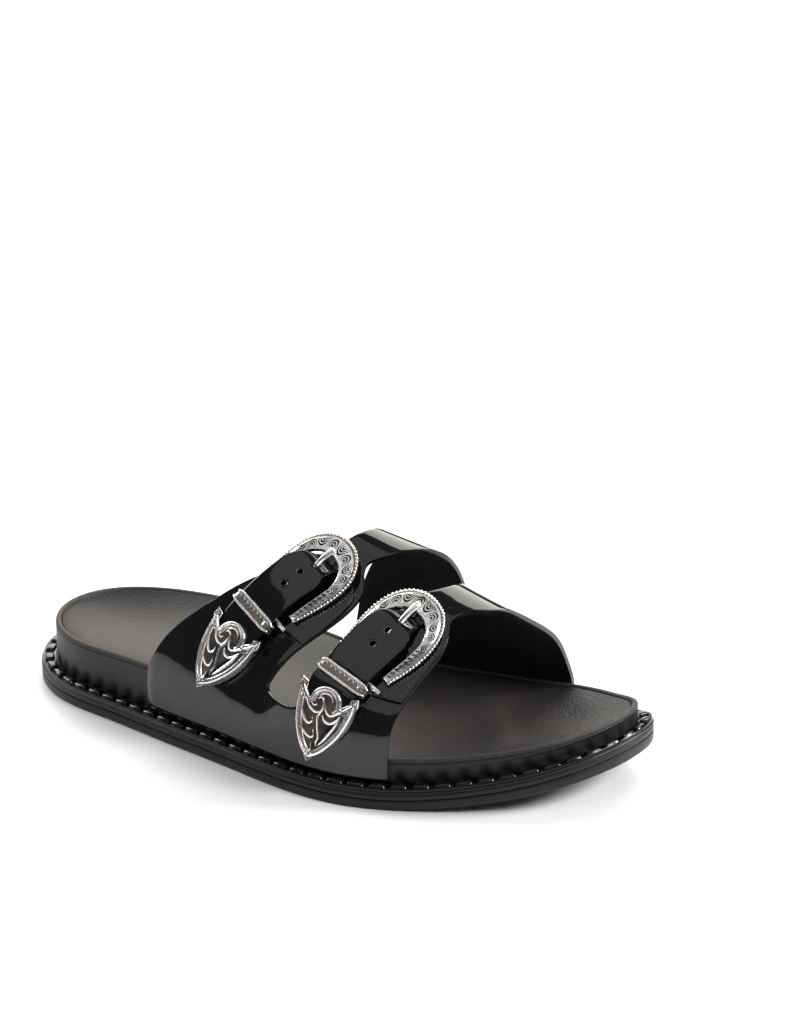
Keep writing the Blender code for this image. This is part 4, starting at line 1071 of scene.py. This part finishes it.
def makeBarAndProng(belt):
    name = belt["name"]
    bm = bmesh.new()
    place = seat(belt, -1.1, buckle["barSeat"])
    ends = [place(buckle["barSide"] + buckle["barLength"] * k, 0, 0) for k in (-0.5, -0.2, 0.2, 0.5)]
    addRod(bm, ends, buckle["barRadius"], 14, 24, lambda u, t: 1.0 - 0.25 * (abs(2 * u - 1) > 0.94))
    newObject(name + "Bar", bm, silverBright, 40, name + "_bar")
    bm = bmesh.new()
    rows = [(a * buckle["length"], h * buckle["height"]) for a, h in buckle["prong"]]
    path = [wrap(belt, buckle["tailSide"] / 2, a, h) for a, h in rows]
    addRod(bm, path, 1.2, 12, 60, lambda u,
        t: (1.0 + 0.14 * abs(math.sin(2 * t))) * (1.0 - 0.35 * max(0, (u - 0.975) / 0.025)))
    newObject(name + "Prong", bm, silverBright, 50, name + "_prong")


def makeKeeper(belt):
    name = belt["name"]
    side, at, turn = belt["keeper"]
    place = seat(belt, at, buckle["keeperSeat"], side, turn)
    half = buckle["tailWidth"] / 2 + buckle["keeperSide"] + buckle["keeperWall"]
    wall, high, long = buckle["keeperWall"], buckle["keeperHeight"], buckle["keeperLength"]
    profile = [(-.5, 0), (-.5, .75), (-.46, 1.0), (-.40, 1.06), (-.36, .98), (-.33, .66), (.33, .66), (.36, .98),
        (.40, 1.06), (.46, 1.0), (.5, .75), (.5, 0)]
    count = len(profile)
    centreHalf, centreHigh = half - wall, high / 2 - wall

    def loop(u):  # a point on the loop's inner wall
        turnU = 2 * math.pi * u
        power = 2 / 9
        c = math.copysign(abs(math.cos(turnU)) ** power, math.cos(turnU)) * centreHalf
        h = math.copysign(abs(math.sin(turnU)) ** power, math.sin(turnU)) * centreHigh
        return c, h

    def spot(u, v):
        a, out = profile[round(v * count) % count]
        c, h = loop(u)
        c2, h2 = loop(u + 0.003)
        way = np.array([c2 - c, h2 - h])
        way /= np.linalg.norm(way) + 1e-9
        n = np.array([way[1], -way[0]])
        a *= 1 - 0.36 * (max(0.0, abs(c) - centreHalf + 2.0) / 2.0) ** 2
        return place(c + n[0] * out * wall, a * long, high / 2 + h + n[1] * out * wall)

    bm = bmesh.new()
    addSheet(bm, 120, count, spot, lambda u, v: int(int(v * count) == 5 and 0.02 < u < 0.48))
    closeSeams(bm)
    bmesh.ops.holes_fill(bm, edges=[e for e in bm.edges if e.is_boundary], sides=0)

    def onTop(c, a, h):
        return place(c, a, high - wall * 0.34 + h)

    def stroke(path, radius, rows):
        addWire(bm, path, radius, onTop, rows, 5, 1.2)

    for c in np.arange(-half + 2.7, half - 2.2, 2.15):  # strokes and rings on the loop's face
        if abs(c) > half - 4.6:
            turns = np.linspace(0, 2 * math.pi, 12)
            stroke([(c + 1.05 * math.cos(t), 1.05 * math.sin(t)) for t in turns], 0.24, 24)
            stroke([(c - 0.4, -0.25), (c + 0.1, 0.3), (c + 0.4, -0.2)], 0.2, 8)
        else:
            stroke([(c - 0.7, -1.5), (c + 0.1, -0.8), (c + 0.7, 0.1), (c + 0.3, 0.9), (c - 0.5, 1.5)], 0.24, 18)
            stroke([(c + 0.5, 0.2), (c + 1.1, 0.75), (c + 1.2, 1.5)], 0.2, 10)
    newObject(name + "Keeper", bm, [silverBright, silverDark], 45, name + "_keeper")


tipSide = [(0, -1), (.14, -.92), (.35, -.78), (.60, -.50), (.83, -.12), (.96, .30), (1.0, .62), (.99, .93)]
tipSideCurve = smoothCurve(np.linspace(0, 1, len(tipSide)), tipSide)


def tipOutline(turn):  # from the point (0) up the right side, over the lobe (0.5) and back
    mirror = -1 if turn > 0.5 else 1
    t = 1 - abs(2 * turn - 1)
    if t < 0.62:
        c, a = tipSideCurve(t / 0.62)[0]
    elif t < 0.74:
        k = (t - 0.62) / 0.12
        c, a = ((1 - k) * .99 + k * .57 - 0.05 * math.sin(k * math.pi),
                .93 - (.93 - .56) * math.sin(k * math.pi / 2) ** 0.8)
    else:
        k = (t - 0.74) / 0.26
        ang = -0.08 + (math.pi / 2 + 0.08) * k
        c, a = .565 * math.cos(ang), .585 + .41 * math.sin(ang)
    return mirror * c, a


def makeTip(belt):
    name = belt["name"]
    side, at, turn, tilt = belt["tip"]
    place = seat(belt, at, buckle["tipSeat"], side, turn, tilt)
    halfW, halfL, high = buckle["tipWidth"] / 2, buckle["tipLength"] / 2, buckle["tipHeight"]
    count = 120
    bm = bmesh.new()
    ring = bmesh.ops.create_circle(bm, cap_ends=False, segments=count, radius=1)["verts"]
    for k, v in enumerate(ring):
        c, a = tipOutline(k / count)
        v.co = (c * halfW, a * halfL, 0.0)
    bmesh.ops.remove_doubles(bm, verts=ring, dist=0.01)
    base = bmesh.ops.contextual_create(bm, geom=list(bm.edges))["faces"]
    made = bmesh.ops.extrude_face_region(bm, geom=base)
    top = [g for g in made["geom"] if isinstance(g, bmesh.types.BMFace)]
    bmesh.ops.translate(bm, vec=(0, 0, high - 0.5), verts=list({v for f in top for v in f.verts}))
    steps = ((0.25, 0.35), (0.28, 0.15), (0.45, 0), (0.3, -0.75), (0.35, 0), (0.22, 0.42), (0.32, 0), (0.22, -0.42))
    for thick, depth in steps:  # rounded rim, groove, inner ridge and sunk field
        bmesh.ops.inset_region(bm, faces=top, thickness=thick, depth=depth, use_even_offset=False)
    for f in top:
        f.material_index = 1
    bmesh.ops.triangulate(bm, faces=[f for f in bm.faces if len(f.verts) > 4])
    field = high - 0.75
    for v in bm.verts:
        v.co = toScene(place(v.co.x, v.co.y, v.co.z))

    def onField(c, a, h):
        return place(c, a, field + h)

    strokes = [  # path in shares of the half width and half length, radius, steps along it
        ([(-.30, .58), (-.22, .66), (-.08, .62), (-.04, .50), (-.05, .34), (-.10, .20), (-.03, -.03), (.07, -.22),
          (.14, -.40), (.12, -.54), (.18, -.62)], .48, 44),
        (spiral((-.01, .60), .41, .41, 175, -5, .78), .32, 28),
        (spiral((-.01, .60), .28, .25, 165, 10, .78), .24, 22),
        ([(-.82, .68), (-.66, .50), (-.52, .34), (-.38, .26), (-.20, .24), (-.06, .34)], .44, 26),
        ([(-.47, .56), (-.46, .44), (-.35, .39), (-.26, .48)], .26, 14),
        ([(.03, .52), (.10, .37), (.27, .29), (.46, .38), (.80, .66)], .42, 26),
        ([(.28, .41), (.37, .40), (.40, .50)], .24, 10),
        ([(.02, .25), (.14, .12), (.34, .09), (.52, .19), (.64, .40)], .46, 24),
        ([(.54, .58), (.70, .69), (.86, .80)], .26, 10),
        ([(.64, .38), (.58, .11), (.47, -.14), (.34, -.39), (.21, -.58)], .50, 26),
        ([(-.80, .28), (-.66, .10), (-.50, -.06), (-.34, -.11), (-.25, -.04), (-.30, .09)], .44, 26),
        ([(-.64, -.28), (-.44, -.35), (-.22, -.44), (-.07, -.42), (-.06, -.31), (-.14, -.21)], .40, 26),
        ([(-.80, .13), (-.63, -.30), (-.43, -.58), (-.24, -.79), (-.06, -.82), (.01, -.72), (-.06, -.58)], .42, 36),
    ]
    for path, thick, rows in strokes:
        real = [(c * halfW, a * halfL) for c, a in path]
        addWire(bm, real, thick * buckle["strokeBold"], onField, rows, 8, 1.15)
    newObject(name + "Tip", bm, [silverBright, silverDark], 40, name + "_tip")


for beltName in ("rear", "front"):
    belt = beltLine(beltName)
    makeBacking(belt)
    makeTail(belt)
    makeStitches(belt)
    makeFrame(belt)
    makeBarAndProng(belt)
    makeKeeper(belt)
    makeTip(belt)
    print(beltName, "buckle made")

def makeStage():
    bm = bmesh.new()
    bmesh.ops.create_grid(bm, x_segments=4, y_segments=4, size=6)
    bmesh.ops.translate(bm, vec=(-2.7, 4.4, 0), verts=bm.verts)
    mesh = bpy.data.meshes.new("floor")
    bm.to_mesh(mesh)
    bm.free()
    look, nodes, links, shader = newMaterial("floorPale", (0.93, 0.915, 0.93), 0.4)
    mesh.materials.append(look)
    floor = bpy.data.objects.new("floor", mesh)
    bpy.context.scene.collection.objects.link(floor)


def addArea(name, place, target, size, power, color=(1, 1, 1), sizeY=None):
    light = bpy.data.lights.new(name, "AREA")
    light.energy = power
    light.color = color
    light.size = size
    if sizeY:
        light.shape = "RECTANGLE"
        light.size_y = sizeY
    made = bpy.data.objects.new(name, light)
    bpy.context.scene.collection.objects.link(made)
    made.location = place
    made.rotation_euler = (Vector(target) - Vector(place)).to_track_quat("-Z", "Y").to_euler()
    return made


def makeCamera():
    back = Vector((0.5093, -0.7885, 0.3449)).normalized()
    right = Vector((0, 0, 1)).cross(back).normalized()
    rise = back.cross(right)
    place = toScene((770.3, -946.2, 510.3))
    camera = bpy.data.cameras.new("camera")
    camera.sensor_fit = "VERTICAL"
    camera.sensor_height = 36
    camera.lens = 3194.7 / 1013 * 36
    camera.clip_start = 0.01
    made = bpy.data.objects.new("camera", camera)
    made.matrix_world = Matrix(((right.x, rise.x, back.x, place.x), (right.y, rise.y, back.y, place.y),
        (right.z, rise.z, back.z, place.z), (0, 0, 0, 1)))
    bpy.context.scene.collection.objects.link(made)
    bpy.context.scene.camera = made


makeStage()
makeCamera()
world = bpy.data.worlds.new("studio")
bpy.context.scene.world = world
world.use_nodes = True
world.node_tree.nodes["Background"].inputs["Color"].default_value = (0.95, 0.95, 1.0, 1)
world.node_tree.nodes["Background"].inputs["Strength"].default_value = 0.10
addArea("keyRight", (1.3, 1.0, 0.85), (0, 0, 0), 0.5, 30)
addArea("rightSoft", (1.6, 0.2, 1.3), (0, 0, 0), 0.7, 24)
addArea("leftSoft", (-1.7, -0.2, 1.15), (0, 0, 0.03), 0.8, 20)
addArea("overhead", (0.1, -0.5, 1.5), (0, 0, 0), 1.7, 5.5)
addArea("backSweep", (-0.8, 1.3, 1.2), (0, 0, 0.05), 2.4, 48, (1, 0.97, 0.925), 1.6)
bpy.context.scene.view_settings.view_transform = "Standard"
print("stage set")
